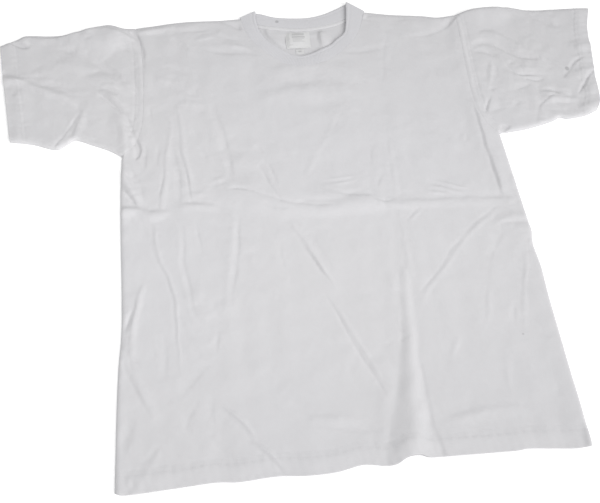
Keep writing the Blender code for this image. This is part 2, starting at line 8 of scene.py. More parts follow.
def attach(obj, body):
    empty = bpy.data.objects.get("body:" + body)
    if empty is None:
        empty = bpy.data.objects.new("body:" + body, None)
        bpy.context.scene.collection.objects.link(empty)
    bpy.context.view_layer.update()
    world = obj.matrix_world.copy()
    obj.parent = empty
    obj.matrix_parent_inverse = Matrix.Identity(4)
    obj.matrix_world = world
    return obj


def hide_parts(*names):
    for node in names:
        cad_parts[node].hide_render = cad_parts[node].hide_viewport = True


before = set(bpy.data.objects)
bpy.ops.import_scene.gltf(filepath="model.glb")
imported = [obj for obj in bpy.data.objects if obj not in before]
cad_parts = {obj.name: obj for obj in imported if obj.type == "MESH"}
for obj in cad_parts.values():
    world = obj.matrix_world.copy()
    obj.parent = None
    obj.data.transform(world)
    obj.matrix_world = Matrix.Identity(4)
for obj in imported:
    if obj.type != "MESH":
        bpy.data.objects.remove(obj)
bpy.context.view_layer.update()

# All tables are in millimetres on the floor: across from the middle of the body, up from the hem.
# This moves them to the frame, whose origin is the middle of the whole shirt.
mm = 0.001
cutToFrame = np.array([-2.5, -363.05, 0.0])

cloth = {
    "thickness": 0.9,
    "lyingTop": 4.6,        # outside of the upper layer over the lower one
    "lowestTop": 2.5,       # and the least it comes down to in a trough
    "lowestEase": 0.25,
    "seamTop": 1.6,         # where the front turns down to the back at the side
    "foldTop": 1.3,         # middle of a pressed tube's edge
    "rollWidth": 5.0,
    "topRollWidth": 8.0,    # along shoulders and the tops of the sleeves
    "puffReach": 24.0,
    "puffRise": 0.6,
    "fineStep": 1.9,        # mesh at creases, and twice that on calm cloth
    "insets": (0.4, 1.1, 2.0, 3.2),     # rows of the mesh beside each edge
}
edgeStep = 2.2
atOnce = 4000               # points tested together, to keep memory small


# Curves and places on the floor

def runAlong(line):
    return np.r_[0, np.cumsum(np.hypot(*np.diff(line[:, :2], axis=0).T))]


def smoothCurve(rows, step):
    # through all the rows, in even steps, with their other columns carried along
    rows = np.array(rows, float)
    ends = np.vstack([2 * rows[0] - rows[1], rows, 2 * rows[-1] - rows[-2]])
    dense = []
    for i in range(1, len(ends) - 2):
        a, b, c, d = ends[i - 1:i + 3]
        for t in np.linspace(0, 1, 24, endpoint=False):
            dense.append(0.5 * (2 * b + (c - a) * t + (2 * a - 5 * b + 4 * c - d) * t**2
                                + (3 * b - a - 3 * c + d) * t**3))
    dense = np.array(dense + [rows[-1]])
    run = runAlong(dense)
    stops = np.linspace(0, run[-1], max(2, round(run[-1] / step) + 1))
    return np.array([np.interp(stops, run, column) for column in dense.T]).T


def movedAside(line, distance):
    # to the left of the way it runs
    ahead = np.gradient(line[:, :2], axis=0)
    ahead /= np.hypot(*ahead.T)[:, None]
    return line[:, :2] + distance * np.stack([-ahead[:, 1], ahead[:, 0]], axis=1)


def joinedOutline(lines):
    points = []
    for line in lines:
        for point in line:
            if not points or np.hypot(*(point - points[-1])) > 1e-6:
                points.append(point)
    if np.hypot(*(points[0] - points[-1])) < 1e-6:
        points.pop()
    return np.array(points)


def nearestOn(points, line):
    # distance to an open line, part of the segment, its number, and +1 where the point is on its left
    starts, ends = line[:-1, :2], line[1:, :2]
    runs = ends - starts
    reach = points[:, None, :] - starts[None]
    part = np.clip((reach * runs).sum(2) / (runs**2).sum(1), 0, 1)
    gap = reach - part[..., None] * runs
    away = np.hypot(gap[..., 0], gap[..., 1])
    number = away.argmin(axis=1)
    each = np.arange(len(points))
    run, offset = runs[number], gap[each, number]
    side = np.sign(run[:, 0] * offset[:, 1] - run[:, 1] * offset[:, 0])
    return away[each, number], part[each, number], number, side


def nearLine(points, line, reach):
    # which points lie in the line's own box grown by a reach
    low, high = line[:, :2].min(0) - reach, line[:, :2].max(0) + reach
    return np.flatnonzero(((points > low) & (points < high)).all(1))


def distanceTo(points, line, most):
    # distance to a line, cut off at the most that matters
    away = np.full(len(points), float(most))
    some = nearLine(points, line, most)
    for part in np.array_split(some, 1 + len(some) // atOnce):
        if len(part):
            away[part] = np.minimum(most, nearestOn(points[part], line)[0])
    return away


def nearestOf(points, lines, most):
    return np.min([distanceTo(points, line, most) for line in lines], axis=0)


def insideOf(points, outline):
    x0, y0 = outline.T
    x1, y1 = np.roll(outline, -1, axis=0).T
    rise = np.where(y1 == y0, 1, y1 - y0)
    found = np.zeros(len(points), bool)
    for part in np.array_split(np.arange(len(points)), 1 + len(points) // atOnce):
        x, y = points[part, :1], points[part, 1:2]
        crossed = ((y0 > y) != (y1 > y)) & (x < (x1 - x0) * (y - y0) / rise + x0)
        found[part] = crossed.sum(axis=1) % 2 == 1
    return found


def smoothStep(value):
    value = np.clip(value, 0, 1)
    return value**2 * (3 - 2 * value)


def rounded(part):
    # a quarter circle: upright at 0, level from 1 on
    return np.sqrt(np.clip(1 - (1 - np.minimum(part, 1))**2, 0, 1))


def bell(away, half):
    return 0.5 + 0.5 * np.cos(np.pi * np.minimum(np.abs(away) / half, 1))


def waves(points, height, seed, shortest, longest, count=16):
    rng = np.random.default_rng(seed)
    turns, starts = rng.uniform(0, 2 * math.pi, (2, count))
    lengths = np.exp(rng.uniform(math.log(shortest), math.log(longest), count))
    total = np.zeros(len(points))
    for turn, start, length in zip(turns, starts, lengths):
        along = points[:, 0] * math.cos(turn) + points[:, 1] * math.sin(turn)
        total += np.sin(2 * math.pi * along / length + start)
    return total * height * math.sqrt(2 / count)


# How the upper layer lies. Each fold is its lean and its rows: across, up, half width, rise. The rise
# is left out where it is 0. Folds are the solid's own ridges, and creases add to them, a trough where
# the rise is below 0. A lean above 0 makes the side on the line's left wider and the other steeper.

bodyFolds = {
    "waistLeftEdge": (0.05, (-284, 366, 12, 1.9), (-260, 365, 13, 2.4), (-238, 358, 13, 2.5),
        (-222, 360, 11, 1), (-208, 364, 7)),
    "waistLeft": (-0.06, (-207, 372, 7.7), (-180, 368, 9.9, 1.4), (-158, 364, 9.9, 1.19), (-142, 362, 7.7)),
    "waistMiddle": (0.25, (-136, 386, 12), (-118, 385, 14, 1.68), (-98, 378, 17, 2.52), (-78, 369, 19, 3.12),
        (-58, 360, 20, 3.24), (-30, 351, 21, 3.12), (0, 346, 21, 2.88), (20, 348, 20, 2.04), (40, 352, 16)),
    "waistBroadLeft": (0.38, (-152, 382, 28), (-125, 381, 46, 2), (-100, 376, 54, 3.6), (-75, 368, 54, 4.2),
        (-50, 360, 48, 3.6), (-25, 352, 38, 1.8), (0, 347, 28)),
    "waistMiddleRight": (0.05, (0, 350, 14), (20, 353, 20, 2.62), (45, 355, 23, 3.62), (68, 351, 21, 3.12),
        (90, 346, 14)),
    "waistAbove": (0.35, (-72, 386, 12), (-54, 380, 17, 1.82), (-32, 374, 19, 2.24), (-15, 371, 20, 2.52),
        (0, 369, 20, 2.8), (20, 368, 20, 2.38), (40, 368, 18, 1.26), (56, 366, 14)),
    "waistRight": (0.2, (76, 350, 9), (98, 347, 14, 1.9), (130, 346, 14, 1.3), (160, 345, 14, 1),
        (190, 344, 14, 0.9), (240, 341, 14, 0.7), (264, 338, 10)),
    "waistRipples": (-0.12, (130, 374, 6.6), (165, 364, 7.7, 0.65), (205, 355, 6.6)),
    "longLine": (0.24, (109, 490, 5.5), (106, 400, 6.6, 0.23), (103, 300, 6.6, 0.35), (102, 240, 6.6, 0.46)),
    "hemFold": (-0.16, (97, 244, 9, 1.2), (91, 190, 10, 2.1), (85, 135, 14, 3.2), (80, 95, 19, 4.4),
        (75, 58, 25, 5.7), (67, 15, 30, 6.7), (62, -12, 31, 6.9)),
    "besideHemFold": (0, (80, 250, 11), (68, 160, 15.4, 0.83), (50, 90, 15.4, 0.92), (32, 30, 15.4, 0.75),
        (28, -10, 15.4, 0.57)),
    "sideStrip": (0.62, (246, 514, 9), (248.5, 490, 13, 2.2), (250.5, 450, 15, 2.8), (253, 400, 15, 2.7),
        (255.5, 366, 13, 2), (258, 346, 9)),
    "besideStrip": (0, (246, 530, 20), (250, 490, 26, 1.1), (252, 450, 28, 1.3), (255, 400, 26, 0.6),
        (257, 370, 20)),
    "middleDiagonal": (0, (-52, 338, 4.67), (-33, 304, 5.61, 1.19), (-14, 264, 5.61, 1.66), (4, 222, 4.67)),
    "lowerDiagonal": (0.24, (-10, 224, 3.74), (11, 178, 4.67, 0.66), (33, 128, 4.67, 0.66), (50, 86, 3.74)),
    "rightArc": (-0.27, (104, 190, 4.67), (125, 220, 5.14, 0.52), (153, 249, 5.14, 0.52),
        (183, 282, 5.14, 0.52), (218, 311, 5.14, 0.52), (243, 326, 4.67)),
    "leftInner": (0.21, (-199, 548, 4.4), (-198, 520, 4.95, 0.42), (-196, 490, 5.5, 0.5),
        (-192, 450, 6.6, 0.79), (-187, 420, 6.6, 0.89), (-180, 380, 6.6)),
    "leftOuter": (0.21, (-212, 525, 4.4), (-212, 500, 4.95, 0.38), (-216, 460, 5.5, 0.6),
        (-220, 420, 6.05, 0.7), (-224, 380, 6.6, 0.75), (-227, 350, 5.5)),
    "leftToHem": (0.21, (-234, 350, 3.74), (-232, 312, 4.21, 0.66), (-226, 288, 4.21, 0.66),
        (-214, 254, 4.21, 0.75), (-207, 215, 3.27, 0.66), (-204, 170, 2.8, 0.57), (-203, 125, 2.8)),
    "leftSecond": (0, (-203, 345, 5.5), (-199, 275, 6.6, 0.26), (-188, 212, 6.6, 0.26), (-172, 165, 5.5)),
    "leftThird": (0, (-128, 396, 6.6), (-127, 340, 7.7, 0.23), (-137, 265, 7.7, 0.23), (-146, 190, 6.6)),
    "leftEdgeHigh": (0, (-288, 442, 7), (-280, 426, 9, 3.6), (-269, 404, 9, 4.08), (-259, 388, 8, 2.16),
        (-252, 376, 7)),
    "leftEdgeMiddle": (0.24, (-248, 262, 5.5), (-256, 232, 6.6, 1.32), (-262, 200, 6.6, 1.49),
        (-264, 175, 6.6, 0.66), (-262, 150, 5.5)),
    "leftEdgeLow": (0.24, (-266, 150, 7.7), (-248, 110, 8.8, 1.16), (-230, 78, 7.7)),
    "leftCup": (0, (-203, 185, 7.7), (-186, 150, 8.8, 0.41), (-163, 150, 7.7, 0.32), (-150, 176, 6.6)),
    "lowDiagonalUpper": (0.12, (-154, 90, 2.8), (-140, 78, 3.74, 1.61), (-125, 62, 3.74, 1.61),
        (-115, 48, 2.8)),
    "lowDiagonalLower": (0.12, (-122, 45, 2.8), (-108, 35, 3.74, 1.61), (-95, 25, 3.74, 1.61), (-86, 12, 2.8)),
    "leftCorner": (0.18, (-226, 46, 7.7), (-244, 26, 8.8, 0.61), (-262, -4, 8.8, 0.47)),
    "rightEdgeHigh": (0.24, (226, 303, 6.6), (250, 311, 7.7, 1.19), (284, 312, 7.7, 0.97)),
    "rightEdgeLow": (-0.24, (272, 282, 4.4), (262, 240, 4.4, 0.5), (253, 215, 4.4, 0.5), (246, 190, 4.4)),
    "rightShoulder": (-0.06, (150, 672, 15.4), (180, 676, 28.6, 1.4), (210, 680, 28.6, 1.62),
        (235, 686, 19.8, 1.08), (252, 692, 11)),
    "leftShoulderHigh": (0, (-205, 692, 8.8), (-180, 696, 11, 0.76), (-150, 698, 8.8)),
    "leftShoulder": (0.3, (-172, 668, 6.6), (-155, 671, 8.8, 1.12), (-140, 672, 7.7, 0.52), (-125, 668, 6.6)),
    "leftShoulderB": (0, (-138, 683, 5.5), (-131, 681, 6.6, 0.76), (-120, 676, 5.5)),
    "leftCollarbone": (0, (-130, 658, 6.6), (-112, 653, 7.7, 1.35), (-95, 647, 6.6, 1.05), (-85, 640, 5.5)),
    "chest": (-0.06, (-95, 545, 15.4), (-40, 551, 22, 1.37), (40, 553, 22, 1.49), (90, 534, 15.4)),
    "underNeck": (-0.18, (-62, 594, 15.18), (-30, 598, 21.5, 1.26), (30, 599, 21.5, 1.36), (80, 592, 15.18)),
    "underNeckDiagonal": (0, (-40, 606, 9.24), (-15, 596, 11.88, 1.46), (12, 584, 9.24)),
}
sleeveFolds = {
    "leftMiddle": (0.2, (-462, 614, 8, 1.56), (-440, 606, 10, 3.12), (-415, 594, 10, 3.64),
        (-390, 580, 10, 3.64), (-370, 569, 10, 3.12), (-348, 554, 8)),
    "leftUpper": (-0.5, (-392, 684, 10), (-372, 690, 22, 3), (-350, 694, 28, 5.4), (-325, 697, 36, 6.4),
        (-303, 694, 42, 6.2), (-283, 685, 40, 4), (-268, 672, 26)),
    "leftUnderHigh": (0.1, (-390, 636, 8), (-372, 634, 17, 2.16), (-350, 629, 20, 2.88), (-332, 622, 16, 2.16),
        (-318, 615, 9)),
    "leftUnderLow": (0.1, (-336, 611, 8), (-320, 605, 17, 2.29), (-304, 598, 20, 3.06), (-290, 590, 15, 1.91),
        (-279, 582, 8)),
    "leftSeam": (0.12, (-320, 581, 6.6), (-297, 565, 8.8, 2.68), (-270, 541, 7.7)),
    "leftUnderarm": (0.24, (-336, 556, 7.7), (-343, 524, 8.8, 1.29), (-352, 490, 8.8, 1.08)),
    "leftTop": (0, (-440, 688, 6.6), (-390, 684, 8.8, 0.56), (-335, 686, 6.6)),
    "leftCap": (0, (-308, 694, 7.7), (-285, 678, 9.9, 2.44), (-264, 660, 7.7)),
    "leftArmpit": (-0.18, (-286, 535, 8.8), (-281, 505, 9.9, 1.72), (-276, 468, 9.9, 1.29)),
    "leftCuff": (0, (-462, 610, 7.7, 0.85), (-440, 608, 8.8, 1.12), (-415, 608, 6.6)),
    "rightLong": (-0.2, (272, 652, 7), (286, 650, 10, 1.09), (306, 642, 13, 1.87), (326, 628, 13, 2.03),
        (344, 612, 12, 1.56), (362, 600, 8)),
    "rightCuff": (0, (398, 540, 8.8), (425, 554, 13.2, 1.4), (454, 564, 11, 0.88)),
    "rightLowCuff": (0, (414, 500, 7.7), (434, 519, 11, 1.23), (450, 538, 8.8, 0.53)),
    "rightLow": (0, (350, 506, 7.7), (382, 509, 9.9, 2.52), (414, 506, 7.7)),
    "rightFanUpper": (0, (318, 584, 6.6), (340, 571, 7.7, 0.85), (388, 562, 6.6)),
    "rightFanLower": (0, (352, 530, 7), (372, 518, 10, 1.6), (392, 512, 10, 1.6), (410, 506, 7)),
    "rightBySeam": (0, (277, 540, 4.4), (283, 556, 5.5, 0.74), (290, 578, 5.5, 0.74), (294, 592, 4.4)),
    "rightUnderarm": (0, (364, 514, 7.7), (352, 494, 9.9, 0.65), (343, 466, 9.9, 0.49)),
    "rightTop": (0, (378, 692, 7.7), (400, 676, 12.1, 1.7), (418, 652, 8.8)),
    "rightCapSoft": (0.25, (260, 698, 20), (262, 680, 34, 2.2), (266, 655, 34, 2.2), (272, 630, 24, 0.9),
        (276, 616, 16)),
    "rightCapHigh": (-0.5, (250, 690, 14), (266, 692, 30, 3.6), (290, 697, 34, 5.2), (315, 698, 32, 4.6),
        (340, 695, 24, 2), (356, 690, 12)),
    "rightCuffEdge": (0, (440, 690, 10), (452, 668, 16, 1.4), (456, 640, 12)),
}
creases = {
    # waist
    "waistGroove": (0.2, (-134, 391, 3.12), (-118, 390, 4.29, -0.9), (-100, 384, 4.29, -1),
        (-80, 377, 4.29, -1), (-62, 368, 4.29, -0.9), (-45, 361, 4.29, -0.6), (-20, 357, 4.68, -0.5),
        (0, 354, 4.68, -0.5), (30, 354, 3.12)),
    "waistGrooveAbove": (0.3, (-8, 377, 4), (4, 376, 5.5, -0.6), (30, 371, 6, -1), (60, 366, 6, -1),
        (76, 362, 4.5, -0.4), (82, 358, 4)),
    "waistHook": (0.3, (66, 363, 3.12), (72, 359, 4.29, -0.8), (80, 355, 4.68, -1.1), (90, 353, 4.29, -0.9),
        (102, 357, 3.12)),
    "waistGrooveRight": (0.28, (104, 354, 4.5), (135, 353, 6.5, -0.6), (165, 352, 6.5, -0.8),
        (205, 351, 7.5, -1), (245, 348, 7.5, -0.95), (264, 345, 5)),
    "waistGrooveLeft": (0.26, (-282, 372, 4.5, -0.3), (-262, 373, 6, -0.5), (-241, 367, 6, -0.6),
        (-226, 367, 6, -0.5), (-206, 362, 4)),
    "waistGrooveMid": (0.25, (-198, 374, 3.9), (-183, 374, 5.2, -0.65), (-165, 370, 6.5, -0.54),
        (-146, 367, 3.9)),
    "aboveWaistLeft": (0, (-195, 384, 6), (-175, 386, 8, 0.91), (-158, 388, 6)),
    "aboveWaistLeftB": (0, (-160, 406, 6.5), (-145, 408, 7.8, 0.71), (-130, 410, 6.5)),
    "aboveWaistDark": (0.34, (-165, 397, 5.3), (-145, 400, 5.3, -0.38), (-128, 402, 5.3)),
    "waistBranch": (0.16, (-86, 368, 4), (-72, 358, 5.3, -0.6), (-60, 354, 5.3, -0.5), (-48, 353, 4)),
    "rippleA": (0, (146, 364, 3.45), (160, 361, 3.45, 1.07), (176, 356, 3.45, 0.98), (190, 351, 3.45)),
    "rippleB": (0, (150, 373, 3.45), (168, 368, 3.56, 1.16), (188, 361, 3.56, 1.07), (206, 354, 3.45)),
    "rippleC": (0, (158, 381, 3.45), (178, 374, 3.56, 0.98), (198, 366, 3.56, 0.81), (214, 360, 3.45)),
    "rippleD": (0, (108, 372, 4.6), (122, 368, 4.6, 0.22), (140, 364, 4.6)),
    "shortRippleA": (0, (0, 384, 3.45), (30, 388, 3.68, 0.67), (58, 392, 3.45)),
    "shortRippleB": (0, (-2, 393, 3.45), (25, 396, 3.68, 0.58), (56, 399, 3.45)),
    "shortRippleC": (-0.44, (92, 402, 5.2), (84, 390, 6.5, -0.61), (78, 376, 5.2)),
    "shortRippleD": (-0.39, (83, 452, 4.5), (77, 425, 5.2, -0.3), (72, 400, 4.5)),
    # middle and right of the body
    "diagonalFoot": (-0.13, (-44, 306, 2.89), (-32, 288, 3.51, -0.43), (-19, 266, 3.51, -1.03),
        (-8, 246, 3.51, -1.18), (2, 228, 2.89)),
    "diagonalBack": (-0.15, (-38, 326, 5.3), (-22, 304, 5.3, -0.36), (-6, 270, 5.3, -0.31), (2, 250, 4)),
    "lowerGroove": (-0.19, (-17, 230, 2.57), (-6, 204, 2.89, -0.61), (8, 170, 2.89, -0.67),
        (25, 129, 2.89, -0.67), (40, 97, 2.89, -0.55), (48, 80, 2.57)),
    "arcGroove": (0.45, (98, 196, 2.38), (121, 223, 2.45, -0.37), (134, 236, 2.45, -0.37),
        (149, 252, 2.45, -0.37), (164, 271, 2.45, -0.37), (179, 285, 2.45, -0.33), (194, 299, 2.45, -0.3),
        (218, 317, 2.45, -0.33), (238, 329, 2.45, -0.33), (253, 333, 2.38)),
    "arcTick": (0.45, (108, 317, 2.57), (122, 330, 2.57, -0.5), (139, 344, 2.57)),
    "arcTickRidge": (0, (114, 316, 3.45), (126, 327, 4.02, 0.39), (141, 340, 3.45)),
    "longGroove": (-0.35, (106, 482, 4.5), (104, 440, 5.2, -0.15), (101, 400, 5.2, -0.15), (100, 362, 4.5)),
    "longLow": (-0.35, (110, 322, 4.5), (109, 290, 5.2, -0.09), (107, 255, 4.5)),
    "hemFoldFoot": (-0.31, (93, 142, 4), (94, 120, 6, -0.5), (95, 90, 7.5, -0.7), (95, 60, 8.5, -1),
        (97, 35, 9, -1.15), (100, 10, 9, -1.3), (102, -6, 9, -1.3)),
    "hemFoldWest": (-0.39, (84, 235, 6), (78, 200, 8, -0.18), (64, 140, 12, -0.24), (52, 100, 14, -0.27),
        (44, 60, 15, -0.3), (34, 25, 16, -0.3), (30, -4, 16, -0.3)),
    "hemFoldTicks": (-0.42, (90, 242, 4.5), (85, 230, 5.2, -0.26), (80, 218, 4.5)),
    "hemFoldTickLow": (-0.36, (87, 200, 4), (85, 186, 5.3, -0.29), (84, 168, 4)),
    "hemFoldCross": (0.4, (46, 143, 5.2), (62, 148, 6.5, -0.18), (78, 152, 6.5, -0.23), (90, 159, 5.2, -0.13)),
    "hairlineLeft": (-0.32, (-65, 312, 4.5), (-66, 285, 5.2, -0.25), (-62, 252, 4.5)),
    "fanRightA": (-0.43, (246, 298, 5.2), (234, 283, 6.5, -0.45), (222, 265, 6.5, -0.33),
        (210, 240, 6.5, -0.19), (198, 205, 6.5, -0.11), (186, 170, 5.2)),
    "fanRightB": (-0.38, (258, 272, 5), (257, 250, 8, -0.22), (252, 228, 8, -0.16), (246, 205, 4)),
    "fanRightC": (-0.39, (232, 186, 5.2), (228, 172, 6.5, -0.66), (226, 156, 5.2)),
    "fanRightD": (0, (252, 214, 5.2), (245, 185, 6.5, 0.57), (238, 150, 5.2)),
    "fanRightE": (0, (205, 215, 5.2), (198, 185, 6.5, 0.5), (190, 160, 5.2)),
    "fanRightF": (0, (210, 120, 5.2), (203, 96, 6.5, 0.5), (200, 70, 5.2)),
    "fanRightG": (0, (150, 150, 5.2), (141, 134, 6.5, 0.41), (136, 120, 5.2)),
    "rightEdgeGroove": (0.29, (236, 305, 3.9), (255, 307, 5.2, -0.65), (270, 304, 6.5, -0.97),
        (283, 304, 5.2, -0.54)),
    "rightEdgeRidge": (0, (262, 296, 6.5), (274, 297, 7.8, 0.54), (284, 295, 6.5, 0.27)),
    "stripGroove": (-0.3, (244, 514, 3.5), (245.5, 490, 4.6, -0.36), (247, 450, 5, -0.45),
        (249.5, 400, 5, -0.42), (251.5, 366, 4.6, -0.3), (253, 350, 3.5)),
    "nearStrip": (-0.41, (226, 457, 4.5), (223, 449, 5.4, -0.74), (221, 441, 4.5)),
    "nearStripTick": (0.35, (206, 451, 4.5), (213, 454, 4.8, -0.48), (219, 453, 4.5)),
    # left of the body
    "innerGroove": (-0.28, (-199, 470, 2.89), (-194, 445, 3.28, -0.37), (-190, 425, 3.28, -0.55),
        (-186, 398, 3.28, -0.61), (-183, 376, 3.28, -0.55), (-181, 368, 2.89)),
    "innerSoft": (-0.3, (-209, 470, 6.5), (-205, 445, 7.8, -0.57), (-201, 405, 7.8, -0.64),
        (-199, 372, 6.5, -0.35)),
    "outerGroove": (-0.37, (-219, 452, 2.81), (-222, 425, 2.89, -0.37), (-226, 395, 2.89, -0.37),
        (-228, 374, 2.81, -0.19), (-229, 366, 2.81)),
    "outerSoft": (-0.31, (-241, 548, 5.2), (-240, 530, 6.5, -0.66), (-238, 512, 5.2)),
    "outerFaintA": (-0.36, (-228, 480, 4.5), (-230, 455, 5.2, -0.5), (-233, 430, 4.5)),
    "outerFaintB": (-0.35, (-247, 478, 5.2), (-248, 455, 6.5, -0.83), (-250, 430, 5.2)),
    "softLong": (-0.28, (-150, 560, 7.8), (-144, 525, 9.1, -0.66), (-137, 490, 9.1, -0.83),
        (-130, 450, 9.1, -1.23), (-126, 415, 7.8, -0.83), (-124, 400, 6.5)),
    "softLongSide": (0, (-160, 520, 7.8), (-150, 480, 9.1, 0.23), (-142, 430, 7.8)),
    "crumpleA": (-0.07, (-93, 467, 5.3), (-84, 456, 5.3, -0.66), (-77, 447, 4)),
    "crumpleB": (-0.18, (-88, 428, 3.51), (-80, 410, 4.06, -0.77), (-70, 388, 4.06, -0.9),
        (-60, 366, 3.51, -0.52)),
    "crumpleC": (-0.23, (-76, 434, 3.51), (-66, 408, 4.06, -0.62), (-60, 380, 3.51)),
    "crumpleD": (0.1, (-142, 441, 12), (-128, 439, 20, 1.3), (-114, 434, 22, 1.7), (-100, 427, 18, 1),
        (-88, 422, 10)),
    "crumpleE": (-0.18, (-170, 467, 4), (-163, 452, 5.3, -0.61), (-158, 440, 4)),
    "crumpleF": (-0.14, (-182, 498, 4), (-176, 490, 5.3, -0.59), (-172, 480, 4)),
    "crumpleG": (0, (48, 530, 6.5), (30, 492, 6.5, 0.23), (8, 456, 7.8, 0.31), (-12, 420, 7.8, 0.31),
        (-24, 398, 6.5)),
    "crumpleH": (-0.43, (52, 528, 5.2), (40, 503, 6.5, -0.2), (30, 480, 5.2)),
    "leftHemGroove": (-0.28, (-239, 350, 2.57), (-238, 310, 2.65, -0.3), (-233, 295, 2.65, -0.34),
        (-226, 275, 2.65, -0.34), (-218, 255, 2.65, -0.3), (-212, 220, 2.65, -0.24), (-209, 190, 2.65, -0.21),
        (-208, 162, 2.57)),
    "secondGroove": (-0.3, (-198, 346, 5.2), (-197, 300, 6.5, -0.7), (-194, 270, 6.5, -0.76),
        (-189, 240, 6.5, -0.57), (-182, 205, 5.2)),
    "secondTick": (-0.28, (-179, 346, 3.51), (-175, 318, 3.51, -0.43), (-170, 290, 3.51)),
    "thirdGroove": (-0.37, (-120, 355, 6), (-121, 320, 6.7, -0.62), (-124, 290, 6.7, -0.62),
        (-130, 255, 6.7, -0.53), (-136, 215, 6)),
    "edgeGrooveHigh": (-0.13, (-283, 410, 3.12), (-280, 404, 3.59, -1.47), (-273, 394, 4.13, -1.47),
        (-264, 382, 4.13, -1.47), (-260, 372, 3.12)),
    "edgeHighAbove": (-0.2, (-275, 448, 5.2), (-264, 425, 6.5, -1.09), (-254, 402, 6.5, -0.99),
        (-250, 385, 5.2)),
    "edgeGrooveMiddle": (-0.39, (-263, 225, 2.57), (-267, 210, 3.59, -1.1), (-271, 192, 4.13, -1.32),
        (-275, 176, 3.12, -0.56), (-276, 166, 3.12)),
    "edgeGrooveLow": (-0.18, (-276, 168, 4.5), (-272, 150, 4.8, -0.29), (-262, 125, 4.8, -0.38),
        (-250, 105, 4.8, -0.36), (-240, 86, 4.5)),
    "cupSecond": (0, (-197, 205, 6.5), (-185, 176, 7.8, 0.47), (-168, 167, 7.8, 0.47), (-158, 185, 6.5)),
    "cupThird": (0, (-188, 232, 6.5), (-172, 206, 7.8, 0.39), (-152, 214, 6.5)),
    "cupSide": (-0.37, (-154, 184, 4.5), (-156, 168, 5.2, -0.56), (-158, 150, 4.5)),
    "cupFoot": (0.44, (-232, 90, 7), (-225, 97, 10, -0.26), (-205, 105, 11, -0.38), (-190, 120, 11, -0.41),
        (-176, 136, 10, -0.38), (-160, 150, 8)),
    "lowTickA": (0.44, (-203, 62, 5.2), (-192, 82, 6.5, -0.41), (-178, 100, 5.2)),
    "lowTickB": (-0.32, (-164, 106, 5.2), (-167, 82, 6.5, -0.5), (-162, 56, 5.2)),
    "lowTickC": (-0.04, (-168, 56, 5.2), (-158, 38, 6.5, -0.53), (-142, 28, 5.2)),
    "lowGrooveUpper": (-0.03, (-156, 84, 3.51), (-144, 73, 4.06, -0.7), (-129, 57, 4.06, -0.7),
        (-118, 44, 3.51)),
    "lowGrooveLower": (-0.02, (-122, 38, 3.12), (-108, 28, 3.59, -0.73), (-95, 16, 4.13, -1.01),
        (-82, 0, 4.13, -0.87), (-79, -5, 4.13, -0.73)),
    "cornerGroove": (-0.25, (-224, 58, 5), (-238, 38, 7, -0.45), (-254, 14, 7.5, -0.5), (-268, -5, 7, -0.4)),
    "cornerSoft": (-0.41, (-258, 88, 8), (-266, 62, 10, -0.66), (-273, 38, 8)),
    "softDimpleA": (-0.32, (-223, 190, 7), (-222, 160, 9, -0.65), (-221, 125, 7)),
    # shoulders and chest
    "shoulderTopLeft": (0, (-268, 690, 6.5), (-250, 692, 7.8, 2.3), (-228, 693, 7.8, 1.89),
        (-205, 697, 6.5, 0.75), (-180, 699, 6.5)),
    "shoulderTickLeft": (0.08, (-134, 706, 5.2), (-118, 702, 6.5, -2.44), (-104, 692, 6.5, -2.06),
        (-98, 684, 3.9)),
    "shoulderGrooveA": (0.33, (-240, 683, 5.2), (-215, 683, 6.5, -0.54), (-190, 688, 6.5, -0.65),
        (-160, 688, 6.5, -0.43), (-145, 690, 5.2)),
    "shoulderGrooveB": (0.19, (-140, 674, 5.2), (-122, 669, 6.5, -0.58), (-105, 664, 6.5, -0.58),
        (-90, 659, 5.2)),
    "shoulderGrooveC": (0.21, (-165, 650, 6), (-148, 645, 8, -0.62), (-122, 640, 9, -0.74),
        (-95, 638, 9, -0.74), (-75, 633, 7, -0.46), (-62, 624, 5)),
    "shoulderTickLow": (-0.06, (-212, 683, 5.2), (-203, 672, 7.8, -1.31), (-192, 660, 7.8, -1.31),
        (-182, 648, 6.5)),
    "upperLeftSoftA": (0.13, (-222, 622, 8), (-200, 610, 10, -1.01), (-176, 600, 8)),
    "upperLeftSoftB": (0.19, (-200, 572, 8), (-182, 563, 10, -0.58), (-160, 560, 8)),
    "upperLeftRiseA": (0, (-235, 600, 8), (-215, 590, 10, 0.58), (-190, 585, 8)),
    "upperLeftRiseB": (0, (-198, 548, 7), (-180, 543, 9, 0.65), (-160, 540, 7)),
    "shoulderGrooveRight": (0.4, (156, 648, 5), (182, 648, 6, -0.58), (206, 652, 6, -0.78),
        (226, 660, 7, -0.95), (241, 670, 8, -1.07), (252, 682, 8, -1.07), (262, 690, 7, -0.66)),
    "shoulderEdgeRight": (0.32, (104, 686, 4.5), (110, 696, 6.7, -0.67), (130, 698, 6, -0.43),
        (150, 694, 5.2, -0.26), (165, 690, 4.5)),
    "shoulderLineRight": (0.24, (134, 693, 4.5), (152, 686, 5.2, -0.44), (178, 684, 5.2, -0.36),
        (200, 682, 4.5)),
    "neckRightTick": (0.08, (103, 694, 5.2), (112, 688, 6.5, -1.5), (124, 681, 5.2)),
    "neckRightTickB": (0.1, (108, 682, 4.5), (118, 679, 5.2, -0.7), (126, 672, 4.5)),
    "neckRightSoft": (0.32, (55, 628, 7), (75, 626, 9, -0.81), (100, 626, 10, -0.91), (125, 630, 8, -0.45),
        (140, 634, 6)),
    "neckRightLineA": (-0.4, (144, 668, 5.2), (132, 640, 5.2, -0.24), (122, 608, 6.5, -0.21),
        (118, 575, 6.5, -0.33), (114, 560, 5.2)),
    "neckRightLineB": (-0.42, (150, 644, 5.3), (138, 612, 5.3, -0.16), (126, 582, 5.3)),
    "chestHigh": (0.3, (-60, 564, 12), (0, 568, 15, -0.27), (75, 562, 12)),
